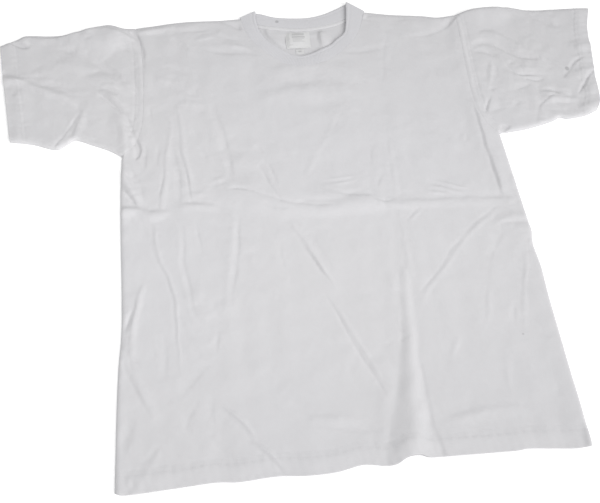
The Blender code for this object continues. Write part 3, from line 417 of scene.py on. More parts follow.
    "chestLow": (0.31, (-60, 528, 12.6), (0, 524, 16.8, -0.36), (50, 530, 12.6)),
    # hem
    "hemSoftA": (0.25, (-48, 56, 6.5), (-15, 52, 7.8, -0.54), (12, 46, 7.8, -0.6), (44, 42, 6.5)),
    "hemSoftB": (-0.15, (112, 46, 6), (135, 49, 10, 1), (170, 53, 11, 1.3), (205, 52, 10, 0.9), (232, 49, 6)),
    "hemSoftC": (-0.15, (-50, 66, 6), (-30, 62, 9, 0.8), (-8, 60, 10, 0.9), (20, 58, 6)),
    "cornerRight": (0, (279, 30, 8), (281, 14, 11, 2.98), (282, -4, 11, 3.18)),
    "edgeSoftA": (0.3, (250, 143, 6.5), (264, 142, 9.1, -0.16), (276, 143, 6.5)),
    "edgeSoftB": (0.39, (250, 64, 6.5), (264, 66, 9.1, -0.15), (276, 72, 6.5)),
    # left sleeve
    "slLeftMain": (0, (-384, 672, 6), (-366, 664, 9, -1.32), (-345, 650, 11, -2.2), (-326, 637, 12, -2.64),
        (-307, 619, 12, -2.64), (-292, 600, 10, -1.76), (-278, 582, 6)),
    "slLeftSoft": (0.21, (-440, 606, 7.8), (-415, 598, 9.1, -0.96), (-385, 595, 9.1, -0.96),
        (-368, 590, 9.1, -0.81), (-352, 583, 7.8)),
    "slLeftPinch": (-0.44, (-344, 542, 3.04), (-353, 524, 3.51, -0.73), (-363, 506, 3.51, -0.84),
        (-373, 490, 3.74, -0.84), (-379, 478, 3.74, -0.65)),
    "slLeftThin": (0, (-322, 576, 3.04), (-313, 568, 4.06, -1.58), (-300, 556, 4.06, -1.58),
        (-287, 543, 3.43, -1.22), (-273, 531, 3.04)),
    "slLeftCuffLine": (0.21, (-462, 626, 6.5, -0.3), (-446, 615, 5.2, -0.81), (-426, 614, 5.2, -0.68),
        (-410, 613, 3.9)),
    "slLeftCuffRise": (0.3, (-468, 607, 14, 1.76), (-450, 608, 17, 2.14), (-434, 607, 15, 1.37),
        (-418, 605, 9)),
    "slLeftHair": (0.26, (-372, 576, 4.5), (-350, 572, 4.5, -0.32), (-322, 570, 4.5)),
    "slLeftCapGroove": (0.35, (-326, 708, 4), (-310, 706, 6, -0.9), (-296, 701, 8, -1.6), (-282, 693, 9, -2),
        (-268, 683, 8, -1.4), (-260, 677, 5)),
    "slLeftCapTick": (-0.01, (-292, 668, 4.5), (-284, 661, 5.4, -1.13), (-276, 653, 4.5)),
    "slLeftTopDark": (0.41, (-448, 694, 4), (-436, 698.5, 8, -2.6), (-405, 694.5, 8, -2.6),
        (-385, 693, 7, -1.4), (-368, 691, 5)),
    "slLeftCuffTop": (0.14, (-464, 690, 4.5), (-452, 683, 6, -2.89), (-440, 677, 6.6, -3.13), (-428, 674, 4.5)),
    "slLeftCuffTopRise": (0, (-450, 690, 5.2), (-438, 687, 7.15, 2.03), (-430, 681, 5.2)),
    "slLeftArmpit": (-0.24, (-278, 536, 4), (-271, 515, 4.8, -1.05), (-266, 495, 5, -1.15), (-262, 478, 4)),
    "slLeftEdge": (0.12, (-345, 500, 4.5), (-325, 491, 5.2, -0.85), (-305, 480, 4.5)),
    "slLeftUpSoft": (0.2, (-385, 664, 6.5), (-372, 660, 7.8, -0.73), (-356, 656, 6.5)),
    "slLeftBright": (0, (-316, 592, 7), (-296, 583, 9, 1.82), (-278, 566, 7)),
    # right sleeve
    "slRightMain": (0.22, (262, 612, 6), (274, 623, 9, -1.35), (290, 628, 9, -1.89), (306, 620, 9, -2.29),
        (322, 608, 9, -2.43), (338, 597, 8, -2.29), (352, 590, 6, -1.62), (372, 588, 4)),
    "slRightMainEnd": (-0.02, (366, 590, 5.2), (382, 577, 7.8, -1.4), (396, 560, 7.8, -1.51), (404, 552, 5.2)),
    "slRightMainLow": (0.12, (266, 612, 5), (282, 611, 8, -1.97), (295, 605, 7, -2.12), (305, 592, 5)),
    "slRightPinchA": (0.44, (396, 548, 3.59), (403, 554, 4.91, -0.9), (412, 563, 4.91, -0.98),
        (422, 574, 4.91, -1.08), (433, 583, 4.52, -0.8), (452, 589, 3.59)),
    "slRightPinchB": (0.45, (412, 513, 3.12), (420, 522, 4.29, -1.49), (430, 534, 4.68, -1.76),
        (440, 547, 4.68, -1.76), (452, 559, 3.9, -1.08)),
    "slRightFanA": (0.14, (308, 586, 3.59), (318, 572, 4.91, -1.54), (330, 562, 4.91, -1.66),
        (346, 557, 4.91, -1.4), (364, 555, 4.52, -1.03), (386, 551, 3.59)),
    "slRightFanB": (0.29, (330, 553, 3.12), (342, 549, 4.29, -1.08), (355, 545, 4.68, -1.49),
        (364, 547, 4.29, -1.08), (374, 552, 3.12)),
    "slRightFanC": (0.39, (314, 530, 5.5), (330, 535, 7, -1.22), (346, 541, 5.5)),
    "slRightFanD": (0.18, (351, 528, 4.5), (370, 524, 7.5, -1.49), (388, 519, 8, -1.62), (400, 514, 7.5, -1.35),
        (412, 508, 4.5)),
    "slRightFanE": (-0.45, (382, 519, 3.12), (364, 510, 3.9, -0.59), (350, 501, 4.13, -0.7),
        (343, 488, 4.13, -0.35), (337, 472, 4.13, -0.18), (333, 460, 3.12)),
    "slRightFanF": (0.31, (352, 499, 4.5), (375, 500, 5.2, -0.65), (412, 501, 4.5)),
    "slRightFanG": (0.36, (304, 501, 4.5), (314, 505, 5.2, -0.55), (328, 506, 4.5)),
    "slRightFanH": (0.35, (268, 494, 4.5), (283, 496, 5.2, -0.49), (298, 499, 4.5)),
    "slRightSpotA": (0.33, (275, 536, 4), (281, 535, 5.6, -1.38), (287, 537, 4)),
    "slRightSpotB": (0.42, (274, 456, 5.2), (281, 457, 9.1, -3.09), (288, 461, 7.8, -2.55), (293, 465, 5.2)),
    "slRightBySeamA": (0.41, (274, 550, 4.5), (279, 566, 5.2, -0.26), (285, 584, 4.5)),
    "slRightBySeamB": (0.39, (292, 552, 4.5), (296, 566, 5.2, -0.5), (299, 582, 4.5)),
    "slRightBySeamC": (0.43, (262, 490, 4.5), (266, 500, 4.5, -1.63), (271, 511, 4.5, -1.36), (278, 524, 4.5)),
    "slRightCuffSide": (0.35, (433, 597, 4.5), (432, 606, 5.2, -0.84), (434, 616, 4.5)),
    "slRightCuffRise": (0.33, (427, 598, 8), (437, 605, 14, 2.29), (450, 607, 15, 2.84), (464, 608, 14, 2.43)),
    "slRightPocketRise": (0.3, (406, 488, 8), (418, 490, 15, 2.16), (432, 492, 17, 2.84), (446, 496, 13, 1.62)),
    "slRightCurve": (0.06, (350, 690, 5), (368, 687, 7.5, -1.49), (382, 681, 8.5, -2.03),
        (394, 671, 8.5, -2.29), (403, 660, 8, -1.89), (412, 648, 5.5)),
    "slRightCrumpleA": (0.21, (352, 490, 4), (372, 486, 5.3, -0.51), (392, 480, 4)),
    "slRightCrumpleB": (0, (360, 482, 3.45), (372, 476, 4.6, 0.61), (386, 474, 3.45)),
    "slRightCrumpleC": (0, (404, 488, 5.2), (420, 490, 6.5, 0.73), (436, 496, 5.2)),
    "slRightSoftPatch": (0.22, (348, 640, 7), (360, 637, 9, -0.7), (374, 634, 7)),
    # armhole bottoms
    "armpitLeft": (-0.3, (-263, 492, 4.48), (-260, 480, 7.47, -3.44), (-257, 468, 7.47, -3.67),
        (-259, 456, 5.98, -1.94)),
    "armholeTopLeft": (-0.29, (-268, 690, 6, -1.1), (-260, 676, 9, -2.76), (-256, 660, 8.5, -2.39),
        (-253, 645, 7, -1.29), (-252, 620, 5, -0.55), (-251, 590, 4, -0.28), (-251, 560, 3)),
    "armholeRight": (-0.34, (254, 690, 6.5), (253, 660, 7.8, -0.46), (251, 620, 7.8, -0.46),
        (250, 585, 7.8, -0.76), (249, 560, 7.8, -0.58), (249, 530, 7.8, -0.4), (247, 508, 6.5)),
    "armholeRightRise": (-0.5, (254, 688, 12), (253, 664, 19, 1.2), (251, 620, 20, 1.5), (250, 585, 20, 1.5),
        (249, 550, 18, 1), (250, 520, 12)),
}
# Cloth that touches the floor or lies under the front: small ridges only
backCreases = {
    "neckRight": (-0.5, (31, 638, 5), (31, 650, 13, 2.8), (30, 664, 13, 2.8), (29, 676, 6)),
    "neckLeft": (0.5, (-60, 692, 6), (-56, 684, 8, 1.6), (-52, 672, 9, 2.2), (-42, 656, 9, 2.2),
        (-34, 648, 7, 1.2), (-27, 641, 5)),
    "neckRim": (0, (-60, 678, 5), (-30, 672, 6, 0.5), (20, 668, 6, 0.5), (60, 676, 5)),
    "underLong": (0.2, (-180, 640, 9), (-150, 520, 12, 0.6), (-160, 380, 12, 0.6), (-140, 250, 9)),
    "underWaist": (0.2, (-275, 358, 8), (-150, 366, 10, 0.55), (0, 352, 11, 0.6), (150, 349, 10, 0.55),
        (276, 341, 8)),
    "underRight": (-0.2, (190, 600, 8), (205, 470, 11, 0.6), (180, 330, 11, 0.5), (205, 190, 8)),
    "underDiagonal": (0, (-90, 300, 7), (-20, 210, 9, 0.5), (30, 110, 9, 0.55), (60, 40, 7)),
    "underLow": (0, (-240, 180, 8), (-205, 110, 10, 0.5), (-150, 60, 8)),
    "underShoulder": (0, (-210, 660, 8), (-130, 645, 10, 0.5), (-70, 655, 8)),
    "underSleeveLeft": (0, (-440, 640, 8), (-380, 600, 10, 0.6), (-310, 560, 8)),
    "underSleeveRight": (0, (300, 640, 8), (360, 590, 10, 0.6), (430, 570, 8)),
}

# The outlines of the cut pieces, as in the solid. Body sides are up, left, right.
bodySides = [
    (0, 281, 283), (50, 281, 283), (93, 281, 282), (145, 280, 281.5), (190, 277.3, 281), (230, 277.8, 282),
    (247, 278.2, 281), (268, 279, 279.5), (289, 279.8, 282.5), (305, 280.5, 281.5), (350, 282, 279.5),
    (400, 283, 277.5), (453, 282.5, 275),
]
hemEdgeRows = [
    (-281, 0), (-270, -3), (-233, -2), (-200, -0.5), (-165, 1), (-137, -1), (-95, 1), (-60, -1.5), (-25, -1),
    (4, 4), (20, 3), (34, 0.5), (48, 1.5), (62, 8), (76, 9), (90, 5), (133, 4), (190, 3), (207, 4),
    (235, 1.5), (264, -1), (283, 0),
]
armholeLeft = [
    (-265, 700), (-258, 672), (-254, 640), (-252, 600), (-251, 560), (-252, 522), (-257, 492), (-267, 470),
    (-282, 457),
]
armholeRight = [
    (253, 689), (253, 660), (252, 620), (250, 580), (249, 540), (250, 505), (256, 478), (265, 461), (276, 452),
]
shoulderLeft = [(-97, 708), (-130, 707), (-190, 708), (-240, 703), (-265, 700)]
shoulderRight = [(106, 707), (150, 698), (200, 691), (225, 686), (253, 689)]
sleeveLeftTop = [
    (-265, 700), (-285, 703), (-303, 711), (-318, 711), (-345, 704), (-375, 696), (-405, 696), (-438, 699),
    (-450, 692), (-476, 681),
]
sleeveLeftCuff = [(-476, 681), (-462, 600), (-450, 530), (-444, 496)]
sleeveLeftUnder = [
    (-282, 457), (-300, 469), (-325, 481), (-349, 491), (-362, 484), (-377, 477), (-410, 489), (-444, 496),
]
sleeveRightTop = [
    (253, 689), (275, 696), (300, 700), (325, 701), (350, 698), (375, 691), (400, 689), (440, 689), (481, 688),
]
sleeveRightCuff = [(481, 688), (465, 638), (457, 585), (450, 545), (445, 505), (434, 482)]
sleeveRightUnder = [
    (276, 452), (300, 454), (325, 458), (360, 467), (373, 473), (387, 470), (415, 474), (434, 482),
]
seamFront = [
    (-97, 708), (-91, 682), (-78, 654), (-55, 627), (-31, 608), (-4, 600), (30, 607), (60, 627), (86, 656),
    (99, 684), (106, 707),
]
seamBack = [
    (-97, 708), (-82, 699), (-65, 693), (-40, 687), (0, 681), (40, 685), (68, 693), (88, 701), (106, 707),
]
freeFront = [
    (-71, 719), (-72, 700), (-68, 680), (-56, 658), (-38, 641), (-22, 628), (-8, 622), (8, 625), (26, 633),
    (42, 641), (54, 652), (68, 665), (73, 685), (76, 706), (78, 728),
]
freeBack = [
    (-71, 719), (-60, 716), (-46, 710), (-30, 706), (0, 703), (20, 704), (40, 709), (60, 718), (78, 728),
]

leftSide, rightSide = (smoothCurve([(sign * row[column], row[0]) for row in bodySides], edgeStep)
                       for sign, column in ((-1, 1), (1, 2)))
hemLine = smoothCurve(hemEdgeRows, edgeStep)
armLeft, armRight = smoothCurve(armholeLeft, edgeStep), smoothCurve(armholeRight, edgeStep)
neckFrontLine, neckBackLine = smoothCurve(seamFront, edgeStep), smoothCurve(seamBack, edgeStep)
panelGap = 0.12             # between two panels along a seam
seamDitch = {"depth": 0.18, "half": 2.6}

# Rows of stitches, in from the hem, the cuff and the armhole
hemNeedles = (19.5, 26.0)
cuffNeedles = (18.0, 23.0)
armNeedles = (8.5, 13.0)

# The view comes from the hem side, so a crest shows a little further up the cloth than it is. The
# tables hold where each one shows, and this brings it back down.
crestShift = np.array([0, -2.0, 0, 0])


def linesOf(table):
    return [(lean, smoothCurve([(*row, 0)[:4] for row in rows], 4.0) + crestShift)
            for lean, *rows in table.values()]


foldLines = linesOf({**bodyFolds, **sleeveFolds})
creaseLines = linesOf(creases)
backLines = linesOf(backCreases)

# Waves in the cloth: height in mm, seed, shortest and longest in mm, how many
broadWaves = (0.24, 7, 30, 110, 40)
smallWaves = (0.045, 11, 9, 22, 48)
swayWaves = [(0.6, seed, 34, 100, 24) for seed in (51, 52)]
floorWaves = (1, 5, 30, 90, 16)
floorWaveLift = 0.14
uneven = {
    "waves": (53, 30, 90, 24),          # seed, shortest and longest, how many
    "folds": 0.06,
    "creases": 0.22,
    "least": 0.25,
    "most": 1.8,
}
rumple = {
    "wrinkles": [(0.17, 31, 26, 70), (0.075, 37, 13, 30)],
    "waveCount": 30,
    "softness": 0.04,
    "patches": (0.4, 41, 80, 180, 12),
    "calmest": 0.6,
    "liveliest": 1.4,
    "sleeveStart": 248,                 # from here outwards they grow to twice the height
    "sleeveBlend": 16,
}
busyWidest = 15             # wider folds don't need the fine mesh
busyReach = 1.2


def bellAlong(points, lean, line):
    some = nearLine(points, line, line[:, 2].max() * (1 + abs(lean)))
    if not len(some):
        return some, np.zeros(0), np.zeros(0)
    found = [nearestOn(part, line) for part in np.array_split(points[some], 1 + len(some) // atOnce)]
    away, part, number, side = (np.concatenate(column) for column in zip(*found))
    half, rise = (line[number, 2:] + part[:, None] * (line[number + 1, 2:] - line[number, 2:])).T
    half = half * (1 + side * lean)
    return some, rise * bell(away, half), away / half


def swayed(points):
    # cloth doesn't crease along a ruler
    return points + np.column_stack([waves(points, *each) for each in swayWaves])


def unevenness(points, kind):
    return np.clip(1 + waves(points, uneven[kind], *uneven["waves"]), uneven["least"], uneven["most"])


def ridgeHeights(points):
    highest, where = np.zeros(len(points)), swayed(points)
    for lean, line in foldLines:
        some, rise, _ = bellAlong(where, lean, line)
        highest[some] = np.maximum(highest[some], rise)
    return highest * unevenness(points, "folds")


def creaseHeights(points, lines):
    total, where = np.zeros(len(points)), swayed(points)
    for lean, line in lines:
        some, rise, _ = bellAlong(where, lean, line)
        total[some] += rise
    return total * unevenness(points, "creases")


def rumples(points):
    # small soft wrinkles with sharp bottoms, in patches, and higher on the sleeves
    total = sum(height * np.sqrt(waves(points, 1, *shape, rumple["waveCount"])**2 + rumple["softness"])
                for height, *shape in rumple["wrinkles"])
    patches = smoothStep(0.5 + waves(points, *rumple["patches"]))
    patches = rumple["calmest"] + (rumple["liveliest"] - rumple["calmest"]) * patches
    onSleeve = smoothStep((np.abs(points[:, 0]) - rumple["sleeveStart"]) / rumple["sleeveBlend"])
    return total * patches * (1 + onSleeve)


def isBusy(points, lines):
    # where folds and creases need the fine mesh
    busy = np.zeros(len(points), bool)
    for lean, line in lines:
        if line[:, 2].max() < busyWidest:
            some, _, part = bellAlong(points, lean, line)
            busy[some] |= part < busyReach
    return busy


def floorLift(points):
    # how far the cloth that lies on the floor stands off it
    return creaseHeights(points, backLines) + floorWaveLift * np.maximum(0, waves(points, *floorWaves))


hem = {
    "rise": 0.4,            # of the double cloth
    "stepWidth": 2.4,
    "stepPast": 0.8,
    "grooveDepth": 0.22,    # drawn in under each row of stitches
    "grooveHalf": 1.8,
    "puckerPitch": 10.5,
    "puckerRise": 0.13,
    "puckerReach": 9.0,
    "puckerSway": 1.3,
    "puckerSwayLength": 23,
    "puckerLean": 9,
    "edgeReach": 17.0,      # where the free edge comes down
    "rimDrop": 0.45,
}


def hemBand(away, along, depth, needles):
    shape = hem["rise"] * (1 - smoothStep((away - depth + hem["stepPast"]) / hem["stepWidth"]))
    for needle in needles:
        shape -= hem["grooveDepth"] * bell(away - needle, hem["grooveHalf"])
    sway = hem["puckerSway"] * np.sin(along / hem["puckerSwayLength"])
    puckers = np.sin(2 * math.pi * along / hem["puckerPitch"] + sway + away / hem["puckerLean"])
    return shape + hem["puckerRise"] * puckers * (1 - smoothStep((away - depth) / hem["puckerReach"]))


def freeEdgeSink(away, drop):
    # a free edge lies lower and its rim is rounded
    return drop * (1 - smoothStep(away / hem["edgeReach"])) + hem["rimDrop"] * (1 - rounded(away))


def nearRows(away, rows, reach):
    return np.min([np.abs(away - row) for row in rows], axis=0) < reach


def restingTop(points):
    # the upper layer before its edges turn down, eased to a lowest height
    top = cloth["lyingTop"] + ridgeHeights(points) + creaseHeights(points, creaseLines)
    top += waves(points, *broadWaves) + waves(points, *smallWaves) + rumples(points)
    for line in (armLeft, armRight):
        top -= seamDitch["depth"] * bell(distanceTo(points, line, 6), seamDitch["half"])
    lowest = cloth["lowestTop"]
    return 0.5 * (top + lowest + np.sqrt((top - lowest)**2 + cloth["lowestEase"]))


def turnedDown(points, top, lines, widths, edgeTop):
    # each line has its own width of roll
    away = [distanceTo(points, line, cloth["puffReach"]) for line in lines]
    part = np.min([np.minimum(each / width, 1) for each, width in zip(away, widths)], axis=0)
    puff = cloth["puffRise"] * smoothStep(part) * (1 - smoothStep(np.min(away, axis=0) / cloth["puffReach"]))
    return edgeTop + (top + puff - edgeTop) * rounded(part)


# Meshes

spacing = {
    "besideInset": 0.75,    # from the last row beside an edge to the lattice, in its steps
    "ownInset": 0.93,       # the least share of its own distance that a row keeps from other edges
    "least": 0.2,
    "sharpFrom": 62,        # degrees
}


def latticeIn(outline, step):
    # points of an even triangular lattice inside the outline, and which are on every second row
    x0, y0 = outline.T
    x1, y1 = np.roll(outline, -1, axis=0).T
    rowRise = step * math.sqrt(3) / 2
    points, isOpen = [], []
    for j in range(math.floor(y0.min() / rowRise), math.ceil(y0.max() / rowRise) + 1):
        y = j * rowRise + 1e-4
        cut = (y0 > y) != (y1 > y)
        ends = np.sort(x0[cut] + (y - y0[cut]) * (x1[cut] - x0[cut]) / (y1[cut] - y0[cut]))
        for a, b in zip(ends[::2], ends[1::2]):
            i = np.arange(math.ceil(a / step - j / 2), math.floor(b / step - j / 2) + 1)
            points.append(np.column_stack([(i + j / 2) * step, np.full(len(i), y)]))
            isOpen.append((i % 2 == 0) & (j % 2 == 0))
    return np.vstack(points), np.concatenate(isOpen)


def sheetPoints(outline, lines, insets, step, busy=None):
    # an even lattice, with rows of points beside each line
    points, isOpen = latticeIn(outline, step)
    if busy is not None:
        points = points[isOpen | busy(points)]
    clear = insets[-1] + spacing["besideInset"] * step
    kept = [points[nearestOf(points, lines, clear + 1) > clear]]
    for inset in insets:
        for line in lines:
            for side in (-inset, inset):
                row = movedAside(line, side)
                row = row[insideOf(row, outline)]
                if len(row):
                    kept.append(row[nearestOf(row, lines, inset + 1) > inset * spacing["ownInset"]])
    kept = np.vstack(kept)
    _, first = np.unique(np.round(kept / spacing["least"]), axis=0, return_index=True)
    return kept[np.sort(first)]


def filled(outline, points):
    both = np.vstack([outline, points])
    ring = [list(range(len(outline)))]
    places, _, faces, *_ = geometry.delaunay_2d_cdt([Vector(p) for p in both], [], ring, 1, 1e-6)
    if len(places) != len(both):
        raise RuntimeError("two points of a sheet fall on each other")
    faces = np.array([tuple(face) for face in faces])
    a, b, c = (both[faces[:, k]] for k in range(3))
    turn = (b - a)[:, 0] * (c - a)[:, 1] - (b - a)[:, 1] * (c - a)[:, 0]
    faces[turn < 0] = faces[turn < 0][:, ::-1]
    return both, faces


def normalsOf(places, faces):
    a, b, c = (places[faces[:, k]] for k in range(3))
    each = np.cross(b - a, c - a)
    normals = np.zeros_like(places)
    for k in range(3):
        np.add.at(normals, faces[:, k], each)
    return normals / np.linalg.norm(normals, axis=1)[:, None]


def rimFaces(faces, innerOf):
    # joins the edges that have a face on one side only to the inner layer's points
    edges = np.concatenate([faces[:, [0, 1]], faces[:, [1, 2]], faces[:, [2, 0]]])
    size = int(faces.max()) + 1
    codes, back = edges[:, 0] * size + edges[:, 1], edges[:, 1] * size + edges[:, 0]
    a, b = edges[~np.isin(back, codes)].T
    return np.vstack([np.column_stack([b, a, innerOf[a]]), np.column_stack([b, innerOf[a], innerOf[b]])])


def shellFaces(faces, count):
    # the same faces again on an inner layer, whose points come after the outer ones
    return np.vstack([faces, faces[:, ::-1] + count, rimFaces(faces, np.arange(count) + count)])


def railFaces(rails, count, closed):
    # quads between rails of points, the last rail joined to the first
    faces = []
    for rail in range(rails):
        here, there = rail * count, (rail + 1) % rails * count
        faces += [(here + i, here + (i + 1) % count, there + (i + 1) % count, there + i)
                  for i in range(count if closed else count - 1)]
    return faces


def inScene(name, data):
    made = bpy.data.objects.new(name, data)
    bpy.context.scene.collection.objects.link(made)
    return made


def pieceFrom(name, places, faces, flat, material):
    mesh = bpy.data.meshes.new(name)
    faces = faces if isinstance(faces, list) else faces.tolist()
    mesh.from_pydata(((places + cutToFrame) * mm).tolist(), [], faces)
    layer = mesh.uv_layers.new(name="cloth")
    corners = np.empty(len(mesh.loops), np.int32)
    mesh.loops.foreach_get("vertex_index", corners)
    layer.uv.foreach_set("vector", (flat[corners] * mm).astype(np.float32).ravel())
    mesh.shade_smooth()
    mesh.set_sharp_from_angle(angle=math.radians(spacing["sharpFrom"]))
    mesh.materials.append(material)
    return inScene(name, mesh)


def lowestAround(points, places, heights, cell=3.0, reach=2):
    # the lowest height within a few cells of each point
    low = places.min(axis=0) - cell * (reach + 1)
    size = np.ceil((places.max(axis=0) - low) / cell).astype(int) + reach + 2
    grid = np.full(size, 99.0)
    index = ((places - low) / cell).astype(int)
    np.minimum.at(grid, (index[:, 0], index[:, 1]), heights)
    spread = grid.copy()
    for i in range(-reach, reach + 1):
        for j in range(-reach, reach + 1):
            spread = np.minimum(spread, np.roll(grid, (i, j), axis=(0, 1)))
    index = ((points - low) / cell).astype(int)
    return spread[index[:, 0], index[:, 1]]


# Materials

def nodeIn(tree, kind, inputs=None, **settings):
    # the new node's outputs
    made = tree.nodes.new(kind)
    for key, value in settings.items():
        setattr(made, key, value)
    for key, value in (inputs or {}).items():
        if isinstance(value, bpy.types.NodeSocket):
            tree.links.new(value, made.inputs[key])
        else:
            made.inputs[key].default_value = value
    return made.outputs


def mathIn(tree, operation, a, b=0.0, c=0.0):
    return nodeIn(tree, "ShaderNodeMath", {0: a, 1: b, 2: c}, operation=operation)[0]


def mixIn(tree, factor, a, b, blend="MIX"):
    return nodeIn(tree, "ShaderNodeMix", {0: factor, 6: a, 7: b}, data_type="RGBA", blend_type=blend)[2]


def noiseIn(tree, vector, scale, detail=2.0):
    return nodeIn(tree, "ShaderNodeTexNoise", {"Vector": vector, "Scale": scale, "Detail": detail})


def rangeIn(tree, value, least, most, start=0.0, end=1.0, **settings):
    inputs = {0: value, 1: start, 2: end, 3: least, 4: most}
    return nodeIn(tree, "ShaderNodeMapRange", inputs, **settings)[0]


def blankMaterial(name, roughness, sheen):
    material = bpy.data.materials.new(name)
    material.use_nodes = True
    tree = material.node_tree
    shader = tree.nodes["Principled BSDF"].inputs
    shader["Specular IOR Level"].default_value = 0.25
    shader["Sheen Weight"].default_value = sheen
    shader["Sheen Roughness"].default_value = 0.6
    shader["Roughness"].default_value = roughness
    return material, tree, shader


def bumpTo(tree, shader, height, strength, depth):
    bumps = nodeIn(tree, "ShaderNodeBump", {"Height": height, "Strength": strength, "Distance": depth * mm})
    tree.links.new(bumps[0], shader["Normal"])


specks = [
    # across, up, radius in mm, how dark
    (-38, 698, 2.2, 0.3), (409, 563, 2.7, 0.3), (75, 560, 0.9, 0.08), (70, 558, 0.8, 0.07),
    (233, 143, 1.1, 0.22), (-60, 468, 0.6, 0.08), (-101, 251, 0.5, 0.08), (152, 410, 0.5, 0.08),
    (-214, 560, 0.5, 0.07), (31, 118, 0.5, 0.08),
]
speckFade = (1.8, 0.6)      # they end at this many radii, and so many millimetres more
knits = {
    # name: two tints, millimetres from one wale and one course to the next, depth of the relief
    "jerseyKnit": ((0.637, 0.635, 0.656), (0.647, 0.641, 0.652), 0.95, 0.75, 0.12),
    "ribKnit": ((0.633, 0.631, 0.657), (0.639, 0.636, 0.655), 1.2, 0.8, 0.12),
    "tapeKnit": ((0.675, 0.675, 0.692), (0.685, 0.68, 0.69), 0.9, 0.7, 0.10),
}
yarn = {
    # noise: scale, detail, least and most share of the colour
    "fuzz": (1900.0, 3.0, 0.985, 1.015),
    "slub": (150.0, 3.0, 0.985, 1.015),
    "cloud": (17.0, 2.0, 0.986, 1.014),
    "broad": (3.1, 1.0),
    # shade is painted shade between the strands and a little painted light on them
    "shade": (0.95, 1.012),             # between the strands and on them
    "bend": (0.00022, 0.00018, 0.0),    # how far the wales and courses stray, in metres
    "bendScale": 260.0,
    "legLean": 3.4,
    "loopShare": (0.4, 0.6),
    "ragged": 0.0012,
    "roughness": (0.86, 1.0),
    "fuzzRelief": 0.5,
    "relief": 0.5,
}
sewing = {
    "scale": 900.0,
    "distortion": 1.5,
    # painted shade in the grooves of the twist and painted light on the plies
    "paintedPlyShades": ((0.60, 0.598, 0.615, 1), (0.70, 0.697, 0.71, 1)),
    "relief": 0.4,
    "depth": 0.06,
}


def knitMaterial(name):
    tint, otherTint, wale, course, depth = knits[name]
    material, tree, shader = blankMaterial(name, roughness=0.95, sheen=0.12)
    place = nodeIn(tree, "ShaderNodeTexCoord")
    where, flat = place["Object"], place["UV"]

    # slanted stitch legs in wales and courses, bent a little
    sway = noiseIn(tree, flat, yarn["bendScale"], 1.0)["Color"]
    bend = nodeIn(tree, "ShaderNodeVectorMath", {0: sway, 1: yarn["bend"]}, operation="MULTIPLY")
    bent = nodeIn(tree, "ShaderNodeVectorMath", {0: flat, 1: bend[0]}, operation="ADD")
    across, up, _ = nodeIn(tree, "ShaderNodeSeparateXYZ", {0: bent[0]})
    column = mathIn(tree, "MULTIPLY", across, 1000 / wale)
    leg = mathIn(tree, "MULTIPLY", mathIn(tree, "PINGPONG", column, 0.5), 2.0)
    strand = mathIn(tree, "SINE", mathIn(tree, "MULTIPLY", leg, math.pi))
    rows = mathIn(tree, "MULTIPLY", up, 2000 * math.pi / course)
    slant = mathIn(tree, "MULTIPLY", leg, yarn["legLean"])
    loops = mathIn(tree, "SINE", mathIn(tree, "ADD", rows, slant))
    knit = mathIn(tree, "MULTIPLY", strand, mathIn(tree, "MULTIPLY_ADD", loops, *yarn["loopShare"]))

    fuzz, slub, cloud, broad = (noiseIn(tree, where, *yarn[name][:2])[0]
                                for name in ("fuzz", "slub", "cloud", "broad"))
    colour = mixIn(tree, broad, (*tint, 1), (*otherTint, 1))
    # painted shade between the strands from the knit's relief, then random tone from slub, cloud and fuzz
    for source, kind in ((knit, "shade"), (slub, "slub"), (cloud, "cloud"), (fuzz, "fuzz")):
        colour = mixIn(tree, 1.0, colour, rangeIn(tree, source, *yarn[kind][-2:]), "MULTIPLY")
    flatWhere = nodeIn(tree, "ShaderNodeVectorMath", {0: where, 1: (1, 1, 0)}, operation="MULTIPLY")[0]
    for x, y, radius, dark in specks:
        centre = ((x + cutToFrame[0]) * mm, (y + cutToFrame[1]) * mm, 0)
        away = nodeIn(tree, "ShaderNodeVectorMath", {0: flatWhere, 1: centre}, operation="DISTANCE")["Value"]
        ragged = mathIn(tree, "MULTIPLY_ADD", fuzz, yarn["ragged"], away)
        faded = (radius * speckFade[0] + speckFade[1]) * mm
        spot = rangeIn(tree, ragged, 1 - dark, 1.0, radius * mm, faded, interpolation_type="SMOOTHSTEP")
        colour = mixIn(tree, 1.0, colour, spot, "MULTIPLY")
    tree.links.new(colour, shader["Base Color"])
    tree.links.new(rangeIn(tree, slub, *yarn["roughness"]), shader["Roughness"])
    relief = mathIn(tree, "ADD", knit, mathIn(tree, "MULTIPLY", fuzz, yarn["fuzzRelief"]))
    bumpTo(tree, shader, relief, yarn["relief"], depth)
    return material


def threadMaterial():
    material, tree, shader = blankMaterial("sewingThread", roughness=0.7, sheen=0.2)
    where = nodeIn(tree, "ShaderNodeTexCoord")["Object"]
    inputs = {"Vector": where, "Scale": sewing["scale"], "Distortion": sewing["distortion"]}
    ply = nodeIn(tree, "ShaderNodeTexWave", inputs, bands_direction="DIAGONAL")[1]
    # painted shade and light along the twist, from the same waves as the bump
    tree.links.new(mixIn(tree, ply, *sewing["paintedPlyShades"]), shader["Base Color"])
    bumpTo(tree, shader, ply, sewing["relief"], sewing["depth"])
    return material


jersey, ribKnit, tapeKnit = (knitMaterial(name) for name in knits)
thread = threadMaterial()
print("materials made")


# Body panels

